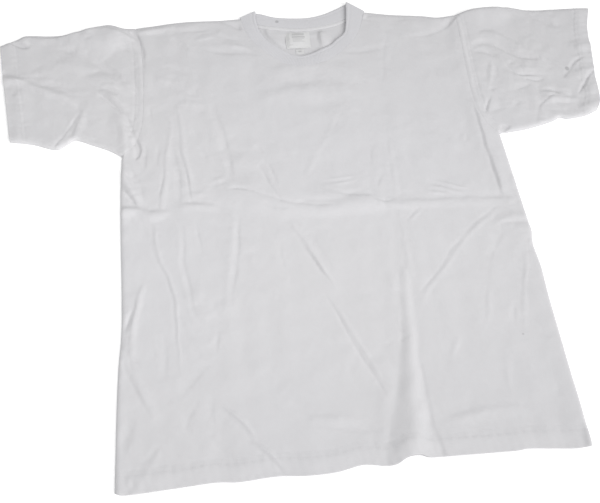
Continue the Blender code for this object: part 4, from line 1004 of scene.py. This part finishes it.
frontPanel = {
    "node": "front_panel",
    "hemDepth": 20.0,
    "hemSink": 1.2,
    "hemThickness": 1.7,
    "rolls": (cloth["rollWidth"], cloth["rollWidth"], cloth["topRollWidth"], cloth["topRollWidth"]),
    "innerStep": 6.0,
    "innerInset": 2.6,
    "lowestInside": 1.15,
    "lowestRim": 1.05,
    "busyAtRow": 2.2,
    "busyAtSeam": 4.2,
    "flat": (0.566, 0.73),
    "area": 0.392,
}
backPanel = {
    "node": "back_panel",
    "thickness": 0.92,
    "step": 2.6,
    "insets": (0.5, 1.4),
    "edgeLift": 0.35,
    "edgeRound": 1.3,
    "hemEdge": 1.2,         # over which its double cloth begins
    "hemEnd": (19.2, 1.8),  # where it ends, and over what width
    "busyAtRow": 3.0,
    "flat": (0.566, 0.73),
    "area": 0.402,
}


def bodyOutline(neckLine):
    # also gives the edges where the front turns down to the back, and the cut ones
    left, right, hemEdge = leftSide[:, :2].copy(), rightSide[:, :2].copy(), hemLine[:, :2].copy()
    shoulders = [smoothCurve(rows, edgeStep) for rows in (shoulderLeft, shoulderRight)]
    insetLeft, insetRight = movedAside(armLeft, panelGap / 2), movedAside(armRight, -panelGap / 2)
    neck = movedAside(neckLine, -panelGap / 3)
    hemEdge[0], hemEdge[-1] = left[0], right[0]
    left[-1], right[-1] = insetLeft[-1], insetRight[-1]
    shoulders[0][-1], shoulders[1][-1] = insetLeft[0], insetRight[0]
    shoulders[0][0], shoulders[1][0] = neck[0], neck[-1]
    outline = joinedOutline([left[::-1], hemEdge, right, insetRight[::-1], shoulders[1][::-1], neck[::-1],
                             shoulders[0], insetLeft])
    return outline, [left, right, *shoulders], [hemEdge, insetLeft, insetRight, neck]


def aboveHem(points):
    return points[:, 1] - np.interp(points[:, 0], hemLine[:, 0], hemLine[:, 1])


def makeFrontPanel():
    outline, turned, cut = bodyOutline(neckFrontLine)

    def top(points):
        height, away = restingTop(points), aboveHem(points)
        height += hemBand(away, points[:, 0], frontPanel["hemDepth"], hemNeedles)
        height -= freeEdgeSink(away, frontPanel["hemSink"])
        return turnedDown(points, height, turned, frontPanel["rolls"], cloth["seamTop"])

    def busy(points):
        near = nearRows(aboveHem(points), hemNeedles, frontPanel["busyAtRow"])
        near |= nearestOf(points, (armLeft, armRight, neckFrontLine), 5) < frontPanel["busyAtSeam"]
        return near | isBusy(points, foldLines) | isBusy(points, creaseLines)

    lines = turned + cut
    outer, outerFaces = filled(outline, sheetPoints(outline, lines, cloth["insets"], cloth["fineStep"], busy))
    innerPoints = sheetPoints(outline, lines, (frontPanel["innerInset"],), frontPanel["innerStep"])
    inner, innerFaces = filled(outline, innerPoints)
    outerTop = top(outer)
    thick = np.where(aboveHem(inner) < frontPanel["hemDepth"], frontPanel["hemThickness"], cloth["thickness"])
    innerTop = np.maximum(lowestAround(inner, outer, outerTop) - thick, frontPanel["lowestInside"])
    ring = len(outline)
    innerTop[:ring] = np.maximum(outerTop[:ring] - thick[:ring], frontPanel["lowestRim"])
    faces = np.vstack([outerFaces, innerFaces[:, ::-1] + len(outer),
                       rimFaces(outerFaces, np.arange(ring) + len(outer))])
    flat = np.vstack([outer, inner])
    print("front panel:", len(faces), "triangles, highest", round(outerTop.max(), 2))
    return pieceFrom("frontPanel", np.column_stack([flat, np.r_[outerTop, innerTop]]), faces, flat, jersey), top


def makeBackPanel():
    outline, turned, cut = bodyOutline(neckBackLine)

    def busy(points):
        near = nearRows(aboveHem(points), hemNeedles, backPanel["busyAtRow"])
        shown = insideOf(points, joinedOutline([neckFrontLine[:, :2], neckBackLine[::-1, :2]]))
        return near | shown | isBusy(points, backLines)

    points = sheetPoints(outline, turned + cut, backPanel["insets"], backPanel["step"], busy)
    flat, faces = filled(outline, points)
    lift, above = floorLift(flat), aboveHem(flat)
    edge = backPanel["edgeLift"] * (1 - rounded(nearestOf(flat, turned + cut[:1], 2) / backPanel["edgeRound"]))
    grooves = np.sum([hem["grooveDepth"] * bell(above - row, hem["grooveHalf"]) for row in hemNeedles], axis=0)
    (end, width), start = backPanel["hemEnd"], backPanel["hemEdge"]
    double = (1 - smoothStep((above - end) / width)) * smoothStep(above / start)
    bottom = lift + edge + grooves
    top = lift + backPanel["thickness"] + hem["rise"] * double
    faces, flat = shellFaces(faces, len(flat)), np.vstack([flat, flat])
    print("back panel:", len(faces), "triangles")
    return pieceFrom("backPanel", np.column_stack([flat, np.r_[top, bottom]]), faces, flat, jersey)


# Sleeves

sleeveLeft = {
    "node": "sleeve_left",
    "side": -1,
    "edges": (armLeft, sleeveLeftTop, sleeveLeftCuff, sleeveLeftUnder),
    "flat": (0.45, 0.215),
    "area": 0.088,
}
sleeveRight = {
    "node": "sleeve_right",
    "side": 1,
    "edges": (armRight, sleeveRightTop, sleeveRightCuff, sleeveRightUnder),
    "flat": (0.45, 0.215),
    "area": 0.088,
}
sleeve = {
    "cuffDepth": 22.0,
    "cuffSink": 1.2,
    "cuffThickness": 1.45,
    "needleDepths": (0.25, 0.5),
    "needleHalf": 1.7,
    "underGroove": (0.2, 2.0),
    "busyPastNeedles": 2.5,
    "busyAtCuff": 5.0,
    "rolls": (cloth["topRollWidth"], cloth["rollWidth"]),
    "lowerStep": 4.4,
    "lowerInsets": (0.5, 1.3, 2.6),
}


def makeSleeve(name, made):
    armhole, side = made["edges"][0], made["side"]
    armEdge = movedAside(armhole, side * panelGap / 2)
    topEdge, cuffEdge, underEdge = (smoothCurve(rows, edgeStep) for rows in made["edges"][1:])
    topEdge[0], underEdge[0] = armEdge[0], armEdge[-1]
    around = joinedOutline([armEdge, underEdge, cuffEdge[::-1], topEdge[::-1]])
    folds, lines = [topEdge, underEdge], [armEdge, underEdge, cuffEdge, topEdge]

    def cuffAway(points):
        return distanceTo(points, cuffEdge, 40)

    def top(points):
        height, away = restingTop(points), cuffAway(points)
        height += hemBand(away, points[:, 1], sleeve["cuffDepth"], cuffNeedles)
        for row, depth in zip(armNeedles, sleeve["needleDepths"]):
            height -= depth * bell(distanceTo(points, armhole, 20) - row, sleeve["needleHalf"])
        height -= freeEdgeSink(away, sleeve["cuffSink"])
        return turnedDown(points, height, folds, sleeve["rolls"], cloth["foldTop"])

    def busy(points):
        near = distanceTo(points, armhole, 18) < armNeedles[1] + sleeve["busyPastNeedles"]
        near |= nearRows(cuffAway(points), [np.mean(cuffNeedles)], sleeve["busyAtCuff"])
        return near | isBusy(points, foldLines) | isBusy(points, creaseLines)

    upper, upperFaces = filled(around, sheetPoints(around, lines, cloth["insets"], cloth["fineStep"], busy))
    lower, lowerFaces = filled(around, sheetPoints(around, lines, sleeve["lowerInsets"], sleeve["lowerStep"]))
    fromFold = nearestOf(lower, folds, 3)
    depth, half = sleeve["underGroove"]
    grooves = depth * np.sum([bell(cuffAway(lower) - row, half) for row in cuffNeedles], axis=0)
    lowerHeight = cloth["foldTop"] * (1 - rounded(fromFold / sleeve["lowerInsets"][-1]))
    lowerHeight += (floorLift(lower) + grooves) * smoothStep(fromFold / 3)

    # the two layers share the points on the pressed folds
    number = np.arange(len(lower)) + len(upper)
    shared = np.flatnonzero(nearestOf(around, folds, 1) < 1e-6)
    number[shared] = shared
    outer = np.vstack([np.column_stack([upper, top(upper)]), np.column_stack([lower, lowerHeight])])
    faces = np.vstack([upperFaces, number[lowerFaces[:, ::-1]]])
    used = np.isin(np.arange(len(outer)), faces)
    outer, faces = outer[used], (np.cumsum(used) - 1)[faces]

    doubled = cuffAway(outer[:, :2]) < sleeve["cuffDepth"]
    thick = np.where(doubled, sleeve["cuffThickness"], cloth["thickness"])
    inner = outer - normalsOf(outer, faces) * thick[:, None]
    faces = shellFaces(faces, len(outer))
    print(name + ":", len(faces), "triangles")
    flat = np.vstack([outer[:, 1::-1], outer[:, 1::-1]])
    return pieceFrom(name, np.vstack([outer, inner]), faces, flat, jersey), top


# Geometry trees, run on a piece and left as a plain mesh

def newTree(name, floats, material):
    tree = bpy.data.node_groups.new(name, "GeometryNodeTree")
    kinds = {"Geometry": "Geometry", **dict.fromkeys(floats, "Float"), material: "Material"}
    for each, kind in kinds.items():
        tree.interface.new_socket(each, in_out="INPUT", socket_type="NodeSocket" + kind)
    tree.interface.new_socket("Geometry", in_out="OUTPUT", socket_type="NodeSocketGeometry")
    return tree, nodeIn(tree, "NodeGroupInput")


def treeEnded(tree, shape, material):
    real = nodeIn(tree, "GeometryNodeRealizeInstances", {"Geometry": shape})[0]
    dyed = nodeIn(tree, "GeometryNodeSetMaterial", {"Geometry": real, "Material": material})[0]
    nodeIn(tree, "NodeGroupOutput", {0: dyed})
    return tree


def treeApplied(piece, tree, settings):
    modifier = piece.modifiers.new(tree.name, "NODES")
    modifier.node_group = tree
    for item in tree.interface.items_tree:
        if item.item_type == "SOCKET" and item.in_out == "INPUT" and item.name in settings:
            modifier[item.identifier] = settings[item.name]
    graph = bpy.context.evaluated_depsgraph_get()
    made = bpy.data.meshes.new_from_object(piece.evaluated_get(graph))
    piece.modifiers.remove(modifier)
    before = piece.data
    piece.data = made
    made.name = piece.name
    bpy.data.meshes.remove(before)
    return piece


# The neckband: a folded strip of rib round the neck, pressed flat at the shoulders

neckband = {
    "node": "neckband",
    "frontMiddle": 3.6,     # heights of the strip's middle
    "seamShoulder": 3.6,
    "freeShoulder": 5.4,
    "backMiddle": 1.15,
    "flatPart": 0.24,       # of the front's length on each side of its middle, and the climb beyond it
    "climbPart": 0.2,
    "ribCount": 218,
    "ribHeight": 0.10,
    "ribAtSeam": (0.3, 10),     # share of the relief there, and how fast it grows
    "ribAtFree": (0.15, 14),
    "perRib": 6,
    "foldStations": 12,
    "foldShare": 0.9,       # of the body's folds that the band follows
    "roundings": 3,
    # part of the way from the seam to the free edge, half the thickness there
    "section": [
        (0, 0.8), (0.03, 0.92), (0.08, 0.98), (0.16, 1.0), (0.4, 1.02), (0.6, 1.02), (0.7, 1.0), (0.745, 0.84),
        (0.775, 0.8), (0.81, 0.97), (0.87, 1.0), (0.93, 0.92), (0.965, 0.72), (0.99, 0.38), (1.0, 0.0),
    ],
    "flat": (0.52, 0.024),
}


def ribTree():
    tree, given = newTree("ribRelief", ["ribCount", "ribHeight"], "clothMaterial")
    turn, mask = (nodeIn(tree, "GeometryNodeInputNamedAttribute", {"Name": name}, data_type="FLOAT")[0]
                  for name in ("ribTurn", "ribMask"))
    angle = mathIn(tree, "MULTIPLY", mathIn(tree, "MULTIPLY", turn, given["ribCount"]), 2 * math.pi)
    rise = mathIn(tree, "MULTIPLY", mathIn(tree, "COSINE", angle),
                  mathIn(tree, "MULTIPLY", mask, given["ribHeight"]))
    normal = nodeIn(tree, "GeometryNodeInputNormal")[0]
    offset = nodeIn(tree, "ShaderNodeVectorMath", {0: normal, 3: rise}, operation="SCALE")[0]
    moved = nodeIn(tree, "GeometryNodeSetPosition", {"Geometry": given["Geometry"], "Offset": offset})[0]
    return treeEnded(tree, moved, given["clothMaterial"])


def frontBandMiddle(points, stops, shoulder):
    climb = smoothStep((np.abs(stops - 0.5) - neckband["flatPart"]) / neckband["climbPart"])
    creased = neckband["foldShare"] * (ridgeHeights(points) + creaseHeights(points, creaseLines))
    creased += waves(points, *broadWaves)
    return neckband["frontMiddle"] + (shoulder - neckband["frontMiddle"]) * climb + (1 - climb) * creased


def backBandMiddle(points, stops, shoulder):
    return np.full(len(points), neckband["backMiddle"])


def halfRing(rows, count, middleOf, shoulder):
    line = smoothCurve(rows, 1.0)
    run, stops = runAlong(line), np.linspace(0, 1, count)
    flat = np.array([np.interp(stops * run[-1], run, column) for column in line.T]).T
    return np.column_stack([flat, middleOf(flat, stops, shoulder)])


def makeNeckband():
    lengths = [runAlong(smoothCurve(rows, 1.0))[-1] for rows in (seamFront, seamBack)]
    between = neckband["foldStations"]
    stations = neckband["ribCount"] * neckband["perRib"] - 2 * between
    frontCount = round(stations * lengths[0] / sum(lengths))
    outwards = {}
    for turn, end in ((1, -1), (-1, 0)):
        x, y = np.subtract(freeFront[end], seamFront[end])
        outwards[turn] = turn * np.array([y, -x]) / np.hypot(x, y)

    def edge(frontRows, backRows, shoulder):
        front = halfRing(frontRows, frontCount, frontBandMiddle, shoulder)
        back = halfRing(backRows, stations - frontCount, backBandMiddle, shoulder)[::-1]
        folds = []
        for tip, other, turn in ((front[-1], back[0], 1), (front[0], back[-1], -1)):
            radius = (tip[2] - other[2]) / 2
            angles = math.pi * (np.arange(between) + 1) / (between + 1)
            places = tip[:2] + outwards[turn] * (radius * np.sin(angles))[:, None]
            heights = (tip[2] + other[2]) / 2 + turn * radius * np.cos(angles)
            folds.append(np.column_stack([places, heights]))
        return np.vstack([front, folds[0], back, folds[1]])

    seam = edge(seamFront, seamBack, neckband["seamShoulder"])
    free = edge(freeFront, freeBack, neckband["freeShoulder"])
    around = sum(np.roll(line, -1, axis=0) - np.roll(line, 1, axis=0) for line in (seam, free))
    for _ in range(neckband["roundings"]):
        around = (np.roll(around, 1, axis=0) + around + np.roll(around, -1, axis=0)) / 3
    outward = np.cross(around, free - seam)
    outward /= np.linalg.norm(outward, axis=1)[:, None]

    section = neckband["section"] + [(part, -half) for part, half in neckband["section"][-2::-1]]
    places = np.vstack([seam + (free - seam) * part + outward * half for part, half in section])
    count = len(seam)
    faces = railFaces(len(section), count, True)
    width = np.linalg.norm(free - seam, axis=1)
    run = np.linspace(0, sum(lengths), count)
    flat = np.vstack([np.column_stack([run, width * part]) for part, _ in section])
    piece = pieceFrom("neckband", places, faces, flat, ribKnit)
    # the ribs fade at the seam and at the free edge
    (atSeam, growth), (atFree, loss) = neckband["ribAtSeam"], neckband["ribAtFree"]
    masks = [min(1, max(atFree, (1 - part) * loss)) * min(1, atSeam + part * growth) for part, _ in section]
    turns = np.tile(np.arange(count) / count, len(section))
    for name, values in (("ribTurn", turns), ("ribMask", np.repeat(masks, count))):
        piece.data.attributes.new(name, "FLOAT", "POINT").data.foreach_set("value", values.astype(np.float32))
    print("neckband:", 2 * len(faces), "triangles")
    return treeApplied(piece, ribTree(), {"ribCount": float(neckband["ribCount"]),
                                          "ribHeight": neckband["ribHeight"] * mm, "clothMaterial": ribKnit})


# Tape over the back neck seam, the label and the tab

neckTape = {
    "node": "neck_tape",
    "middle": 4.5,
    "reach": 80.0,
    "apart": 0.2,
    "width": 6.0,
    "under": 1.2,
    "stagger": (0.05, 0.9),     # height, radians from one place to the next
    # part of the way across, height over its underside
    "section": [
        (0, 0.6), (0.05, 0.76), (0.14, 0.82), (0.22, 0.68), (0.32, 0.86), (0.5, 0.95), (0.68, 0.86),
        (0.78, 0.68), (0.86, 0.8), (0.95, 0.62), (1, 0.35),
    ],
    "flat": (0.165, 0.0102),
    "area": 0.00112,
}


def makeNeckTape():
    line = smoothCurve(seamBack, 1.2)
    line = line[np.abs(line[:, 0] - neckTape["middle"]) < neckTape["reach"]]
    high, low = (movedAside(line, -neckTape["apart"] - width) for width in (0, neckTape["width"]))
    count, lift = len(line), floorLift(line)
    most, pace = neckTape["stagger"]
    stagger = most * np.sin(np.arange(count) * pace)
    rails = [(part, neckTape["under"] + rise) for part, rise in neckTape["section"]]
    rails += [(part, neckTape["under"]) for part, _ in neckTape["section"][::-1]]
    places = np.vstack([np.column_stack([high + (low - high) * part,
                                         lift + height + stagger * (height > neckTape["under"])])
                        for part, height in rails])
    faces = [face[::-1] for face in railFaces(len(rails), count, False)]
    faces.append(tuple(rail * count for rail in range(len(rails))))
    faces.append(tuple((rail + 1) * count - 1 for rail in range(len(rails)))[::-1])
    run = np.linspace(0, 1000 * neckTape["flat"][0], count)
    flat = np.vstack([np.column_stack([run, np.full(count, part * neckTape["width"])]) for part, _ in rails])
    return pieceFrom("neckTape", places, faces, flat, tapeKnit), line


wovenLabel = {
    "node": "label",
    "low": (-27, 640),
    "high": (12, 673.4),
    "bow": 0.5,
    "lift": 0.3,
    "curl": 2.2,
    "tint": (0.70, 0.70, 0.705),
    "weaveDepth": 0.06,
    # plain bars: left, right, low, high, how dark
    "bars": [
        (-16, 3, 665.5, 670.5, 0.2), (-17, 4, 660.2, 663.6, 0.22),
        *((-16, 3 - 4 * (i % 2), 657.4 - 2.6 * i, 658.7 - 2.6 * i, 0.2) for i in range(3)),
        (-22, -16, 645.5, 647, 0.16), (-25.6, 10.6, 641.3, 641.8, 0.1), (-25.6, 10.6, 671.8, 672.2, 0.1),
    ],
    "flat": (0.039, 0.0334),
}
sizeTab = {
    "node": "size_tab",
    "low": (-13, 628),
    "high": (0, 639.7),
    "bow": 0.2,
    "lift": 0.25,
    "curl": 0.0,
    "tint": (0.675, 0.675, 0.68),
    "weaveDepth": 0.05,
    "bars": [(-9, -4, 631.8, 635.4, 0.2), (-12.2, -0.8, 633.4, 634.2, 0.12), (-12.6, -0.4, 637.4, 638.8, 0.16)],
    "flat": (0.013, 0.0117),
}
satin = {
    "under": 1.0,
    "thickness": 0.3,
    "rimSink": 0.12,
    "liftSway": (0.6, 0.4, 2.2, 0.6),
    "curlFrom": 0.18,           # parts of the width
    "curlTo": 0.5,
    "curlAlong": (0.9, 0.05, 0.8),
    "weft": 0.32,
    "warp": 0.45,
    "warpShare": 0.4,
    # shade is painted shade where the weave's threads dip and a little painted light where they rise
    "shade": (0.95, 1.02),
    "roughness": (0.62, 0.45),
    "relief": 0.4,
}


def satinMaterial(name, made):
    material, tree, shader = blankMaterial(name, roughness=0.5, sheen=0.05)
    shader["Specular IOR Level"].default_value = 0.4
    parts = nodeIn(tree, "ShaderNodeSeparateXYZ", {0: nodeIn(tree, "ShaderNodeTexCoord")["UV"]})
    across, up = (mathIn(tree, "MULTIPLY", parts[k], 1000.0) for k in (0, 1))
    weft, warp = (mathIn(tree, "SINE", mathIn(tree, "MULTIPLY", along, 2 * math.pi / satin[yarns]))
                  for along, yarns in ((up, "weft"), (across, "warp")))
    weave = mathIn(tree, "MULTIPLY_ADD", warp, satin["warpShare"], weft)
    peak = 1 + satin["warpShare"]
    # painted shade of the weave: darker where its threads dip, from the same waves as the bump
    shade = rangeIn(tree, weave, *satin["shade"], -peak, peak)
    colour = mixIn(tree, 1.0, (*made["tint"], 1), shade, "MULTIPLY")
    for left, right, low, high, dark in made["bars"]:
        inX = mathIn(tree, "COMPARE", across, (left + right) / 2, (right - left) / 2)
        inY = mathIn(tree, "COMPARE", up, (low + high) / 2, (high - low) / 2)
        shade = mathIn(tree, "MULTIPLY_ADD", mathIn(tree, "MULTIPLY", inX, inY), -dark, 1.0)
        colour = mixIn(tree, 1.0, colour, shade, "MULTIPLY")
    tree.links.new(colour, shader["Base Color"])
    tree.links.new(rangeIn(tree, weave, *satin["roughness"], -peak, peak), shader["Roughness"])
    bumpTo(tree, shader, weave, satin["relief"], made["weaveDepth"])
    return material


def labelHeight(made, u, v):
    # bowed between its ends, lifted at the free one and curled up on its left half
    height = made["bow"] * math.sin(math.pi * v)
    middle, sway, turns, start = satin["liftSway"]
    height += made["lift"] * (1 - v)**2 * (middle + sway * math.sin(turns * math.pi * u + start))
    curl = smoothStep(u / satin["curlFrom"]) * (1 - smoothStep((u - satin["curlTo"]) / satin["curlTo"]))
    stretch, offset, power = satin["curlAlong"]
    return height + made["curl"] * curl * math.sin(math.pi * min(1, v * stretch + offset))**power


def makeLabel(name, made, material):
    (left, low), (right, high) = made["low"], made["high"]
    columns, rows = round(right - left), round(high - low)
    places = []
    for layer in (1, 0):
        for j in range(rows + 1):
            for i in range(columns + 1):
                u, v = i / columns, j / rows
                rim = min(i, columns - i, j, rows - j) == 0
                thick = layer * (satin["thickness"] - satin["rimSink"] * rim)
                places.append((left + u * (right - left), low + v * (high - low),
                               satin["under"] + labelHeight(made, u, v) + thick))
    span = columns + 1
    below = span * (rows + 1)
    faces = []
    for j in range(rows):
        for i in range(columns):
            a, b, c, d = j * span + i, j * span + i + 1, (j + 1) * span + i + 1, (j + 1) * span + i
            faces += [(a, b, c, d), (d + below, c + below, b + below, a + below)]
    for i in range(columns):
        top = rows * span + i
        faces += [(i + 1, i, i + below, i + 1 + below), (top, top + 1, top + 1 + below, top + below)]
    for j in range(rows):
        first, last = j * span, j * span + columns
        faces += [(first, first + span, first + span + below, first + below),
                  (last + span, last, last + below, last + span + below)]
    places = np.array(places)
    return pieceFrom(name, places, faces, places[:, :2], material)


# Sewing, set along curves by a geometry tree

stitchTension = (0.86, 1.1)         # least and most size of one stitch


def stitchTree():
    sizes = ["stitchPitch", "stitchLength", "stitchWidth", "stitchHeight"]
    tree, given = newTree("stitchRows", sizes, "threadMaterial")
    curve = nodeIn(tree, "GeometryNodeMeshToCurve", {0: given["Geometry"]})[0]
    spaced = nodeIn(tree, "GeometryNodeResampleCurve", {"Curve": curve, "Length": given[sizes[0]]},
                    mode="LENGTH")[0]
    bead = nodeIn(tree, "GeometryNodeMeshUVSphere", {"Segments": 6, "Rings": 4, "Radius": 0.5})[0]
    size = nodeIn(tree, "ShaderNodeCombineXYZ", {k: given[name] for k, name in enumerate(sizes[1:])})[0]
    shaped = nodeIn(tree, "GeometryNodeTransform", {"Geometry": bead, "Scale": size})[0]
    smooth = nodeIn(tree, "GeometryNodeSetShadeSmooth", {"Geometry": shaped})[0]
    tangent = nodeIn(tree, "GeometryNodeInputTangent")[0]
    facing = nodeIn(tree, "FunctionNodeAlignRotationToVector", {"Vector": tangent}, axis="X")[0]
    least, most = stitchTension
    tension = nodeIn(tree, "FunctionNodeRandomValue", {2: least, 3: most, "Seed": 4}, data_type="FLOAT")[1]
    placed = nodeIn(tree, "GeometryNodeInstanceOnPoints",
                    {"Points": spaced, "Instance": smooth, "Rotation": facing, "Scale": tension})[0]
    return treeEnded(tree, placed, given["threadMaterial"])


stitches = {
    "stitchPitch": 3.0 * mm,
    "stitchLength": 2.4 * mm,
    "stitchWidth": 0.5 * mm,
    "stitchHeight": 0.34 * mm,
    "threadMaterial": thread,
}
rowsTree = stitchTree()


def makeStitches(name, lines):
    # lines are places in mm, already at the height of the cloth
    places, edges = [], []
    for line in lines:
        start = len(places)
        places += ((line + cutToFrame) * mm).tolist()
        edges += [(start + i, start + i + 1) for i in range(len(line) - 1)]
    mesh = bpy.data.meshes.new(name)
    mesh.from_pydata(places, edges, [])
    piece = treeApplied(inScene(name, mesh), rowsTree, stitches)
    print(name + ":", sum(len(face.vertices) - 2 for face in piece.data.polygons), "triangles")
    return piece


# Where rows of stitches run: how far the thread's middle lies off the cloth, and how far across
rowLift = {"top": 0.05, "underHem": 0.215, "underCuff": 0.2, "tape": 0.72}
hemReach = (-277, 279)
tapeParts = (0.2, 0.8)


def rowOn(line, top, place):
    return np.column_stack([line, top(line) + rowLift[place]])


def hemRows(top, place):
    inside = hemLine[(hemLine[:, 0] > hemReach[0]) & (hemLine[:, 0] < hemReach[1]), :2]
    return [rowOn(inside + (0, needle), top, place) for needle in hemNeedles]


def sleeveRows(made, top):
    armhole, _, cuff, _ = made["edges"]
    rows = [rowOn(movedAside(armhole, made["side"] * needle)[3:-5], top, "top") for needle in armNeedles]
    for needle in cuffNeedles:
        line = movedAside(smoothCurve(cuff, edgeStep), -made["side"] * needle)[2:-2]
        rows += [rowOn(line, top, "top"), rowOn(line, floorLift, "underCuff")]
    return rows


def tapeRows(line):
    edges = [movedAside(line, -neckTape["apart"] - neckTape["width"] * part) for part in tapeParts]
    height = floorLift(line) + neckTape["under"] + rowLift["tape"]
    return [np.column_stack([edge, height])[1:-1] for edge in edges]


front, frontTop = makeFrontPanel()
back = makeBackPanel()
leftSleeve, leftTop = makeSleeve("sleeveLeft", sleeveLeft)
rightSleeve, rightTop = makeSleeve("sleeveRight", sleeveRight)
band = makeNeckband()
tape, tapeLine = makeNeckTape()
label = makeLabel("wovenLabel", wovenLabel, satinMaterial("labelSatin", wovenLabel))
tab = makeLabel("sizeTab", sizeTab, satinMaterial("tabSatin", sizeTab))
frontStitches = makeStitches("stitchesFrontHem", hemRows(frontTop, "top"))
backStitches = makeStitches("stitchesBackHem", hemRows(floorLift, "underHem"))
leftStitches = makeStitches("stitchesSleeveLeft", sleeveRows(sleeveLeft, leftTop))
rightStitches = makeStitches("stitchesSleeveRight", sleeveRows(sleeveRight, rightTop))
tapeStitches = makeStitches("stitchesNeckTape", tapeRows(tapeLine))
print("pieces made")


# Floor, light and camera

studio = {
    "floorReach": 9.0,
    "floorDepth": 0.0006,
    "floorGlow": 0.25,
    "floorTints": ((0.955, 0.955, 0.955, 1), (0.965, 0.965, 0.965, 1)),
    "worldStrength": 0.506,
    "sunStrength": 1.8,
    "sunFrom": (0.74, -0.67),
    "sunRise": 30,
    "sunSpread": 32,
    "sunColour": (1.0, 0.998, 0.992),
    "boxPower": 2.3,
    "boxSize": (1.2, 0.4),
    "boxPlace": (-0.03, -0.10, 0.68),
}
view = {
    "place": (-0.0921, -0.43415, 0.7775),
    "azimuth": -7.904,
    "elevation": 65.123,
    "roll": 2.61,
    "lens": 37.907,
    "sensor": 36,
}


def makeFloor():
    mesh = bpy.data.meshes.new("floor")
    corners = [(x * studio["floorReach"], y * studio["floorReach"], -studio["floorDepth"])
               for x, y in ((-1, -1), (1, -1), (1, 1), (-1, 1))]
    mesh.from_pydata(corners, [], [(0, 1, 2, 3)])
    material, tree, shader = blankMaterial("paleFloor", roughness=0.9, sheen=0.0)
    cloud = noiseIn(tree, nodeIn(tree, "ShaderNodeTexCoord")["Object"], 2.0)[0]
    tree.links.new(mixIn(tree, cloud, *studio["floorTints"]), shader["Base Color"])
    shader["Emission Color"].default_value = (1, 1, 1, 1)
    shader["Emission Strength"].default_value = studio["floorGlow"]
    mesh.materials.append(material)
    return inScene("floor", mesh)


def makeLight():
    world = bpy.data.worlds.new("studio")
    bpy.context.scene.world = world
    world.use_nodes = True
    background = world.node_tree.nodes["Background"].inputs
    background["Color"].default_value = (1.0, 1.0, 1.0, 1)
    background["Strength"].default_value = studio["worldStrength"]
    sun = bpy.data.lights.new("window", "SUN")
    sun.energy = studio["sunStrength"]
    sun.angle = math.radians(studio["sunSpread"])
    sun.color = studio["sunColour"]
    rise = math.radians(studio["sunRise"])
    flat = Vector(studio["sunFrom"]).normalized() * math.cos(rise)
    toSun = Vector((flat.x, flat.y, math.sin(rise)))
    inScene("window", sun).rotation_euler = toSun.to_track_quat("Z", "Y").to_euler()
    box = bpy.data.lights.new("softbox", "AREA")
    box.energy = studio["boxPower"]
    box.shape = "RECTANGLE"
    box.size, box.size_y = studio["boxSize"]
    inScene("softbox", box).location = studio["boxPlace"]


def makeCamera():
    turn, rise, roll = (math.radians(view[key]) for key in ("azimuth", "elevation", "roll"))
    back = Vector((math.sin(turn) * math.cos(rise), -math.cos(turn) * math.cos(rise), math.sin(rise)))
    right = (-back).cross(Vector((0, 0, 1))).normalized()
    up = right.cross(-back)
    across = right * math.cos(roll) + up * math.sin(roll)
    upward = up * math.cos(roll) - right * math.sin(roll)
    camera = bpy.data.cameras.new("view")
    camera.lens = view["lens"]
    camera.sensor_width = view["sensor"]
    holder = inScene("view", camera)
    facing = Matrix((across, upward, back)).transposed().to_4x4()
    holder.matrix_world = Matrix.Translation(view["place"]) @ facing
    bpy.context.scene.camera = holder


floor = makeFloor()
makeLight()
makeCamera()
bpy.context.scene.view_settings.view_transform = "Standard"

for piece in (front, back, leftSleeve, rightSleeve, band, tape, label, tab,
              frontStitches, backStitches, leftStitches, rightStitches, tapeStitches):
    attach(piece, "root")
for piece, made in ((front, frontPanel), (back, backPanel), (leftSleeve, sleeveLeft), (rightSleeve, sleeveRight),
                    (band, neckband), (tape, neckTape), (label, wovenLabel), (tab, sizeTab)):
    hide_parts(made["node"])

print("scene ready")
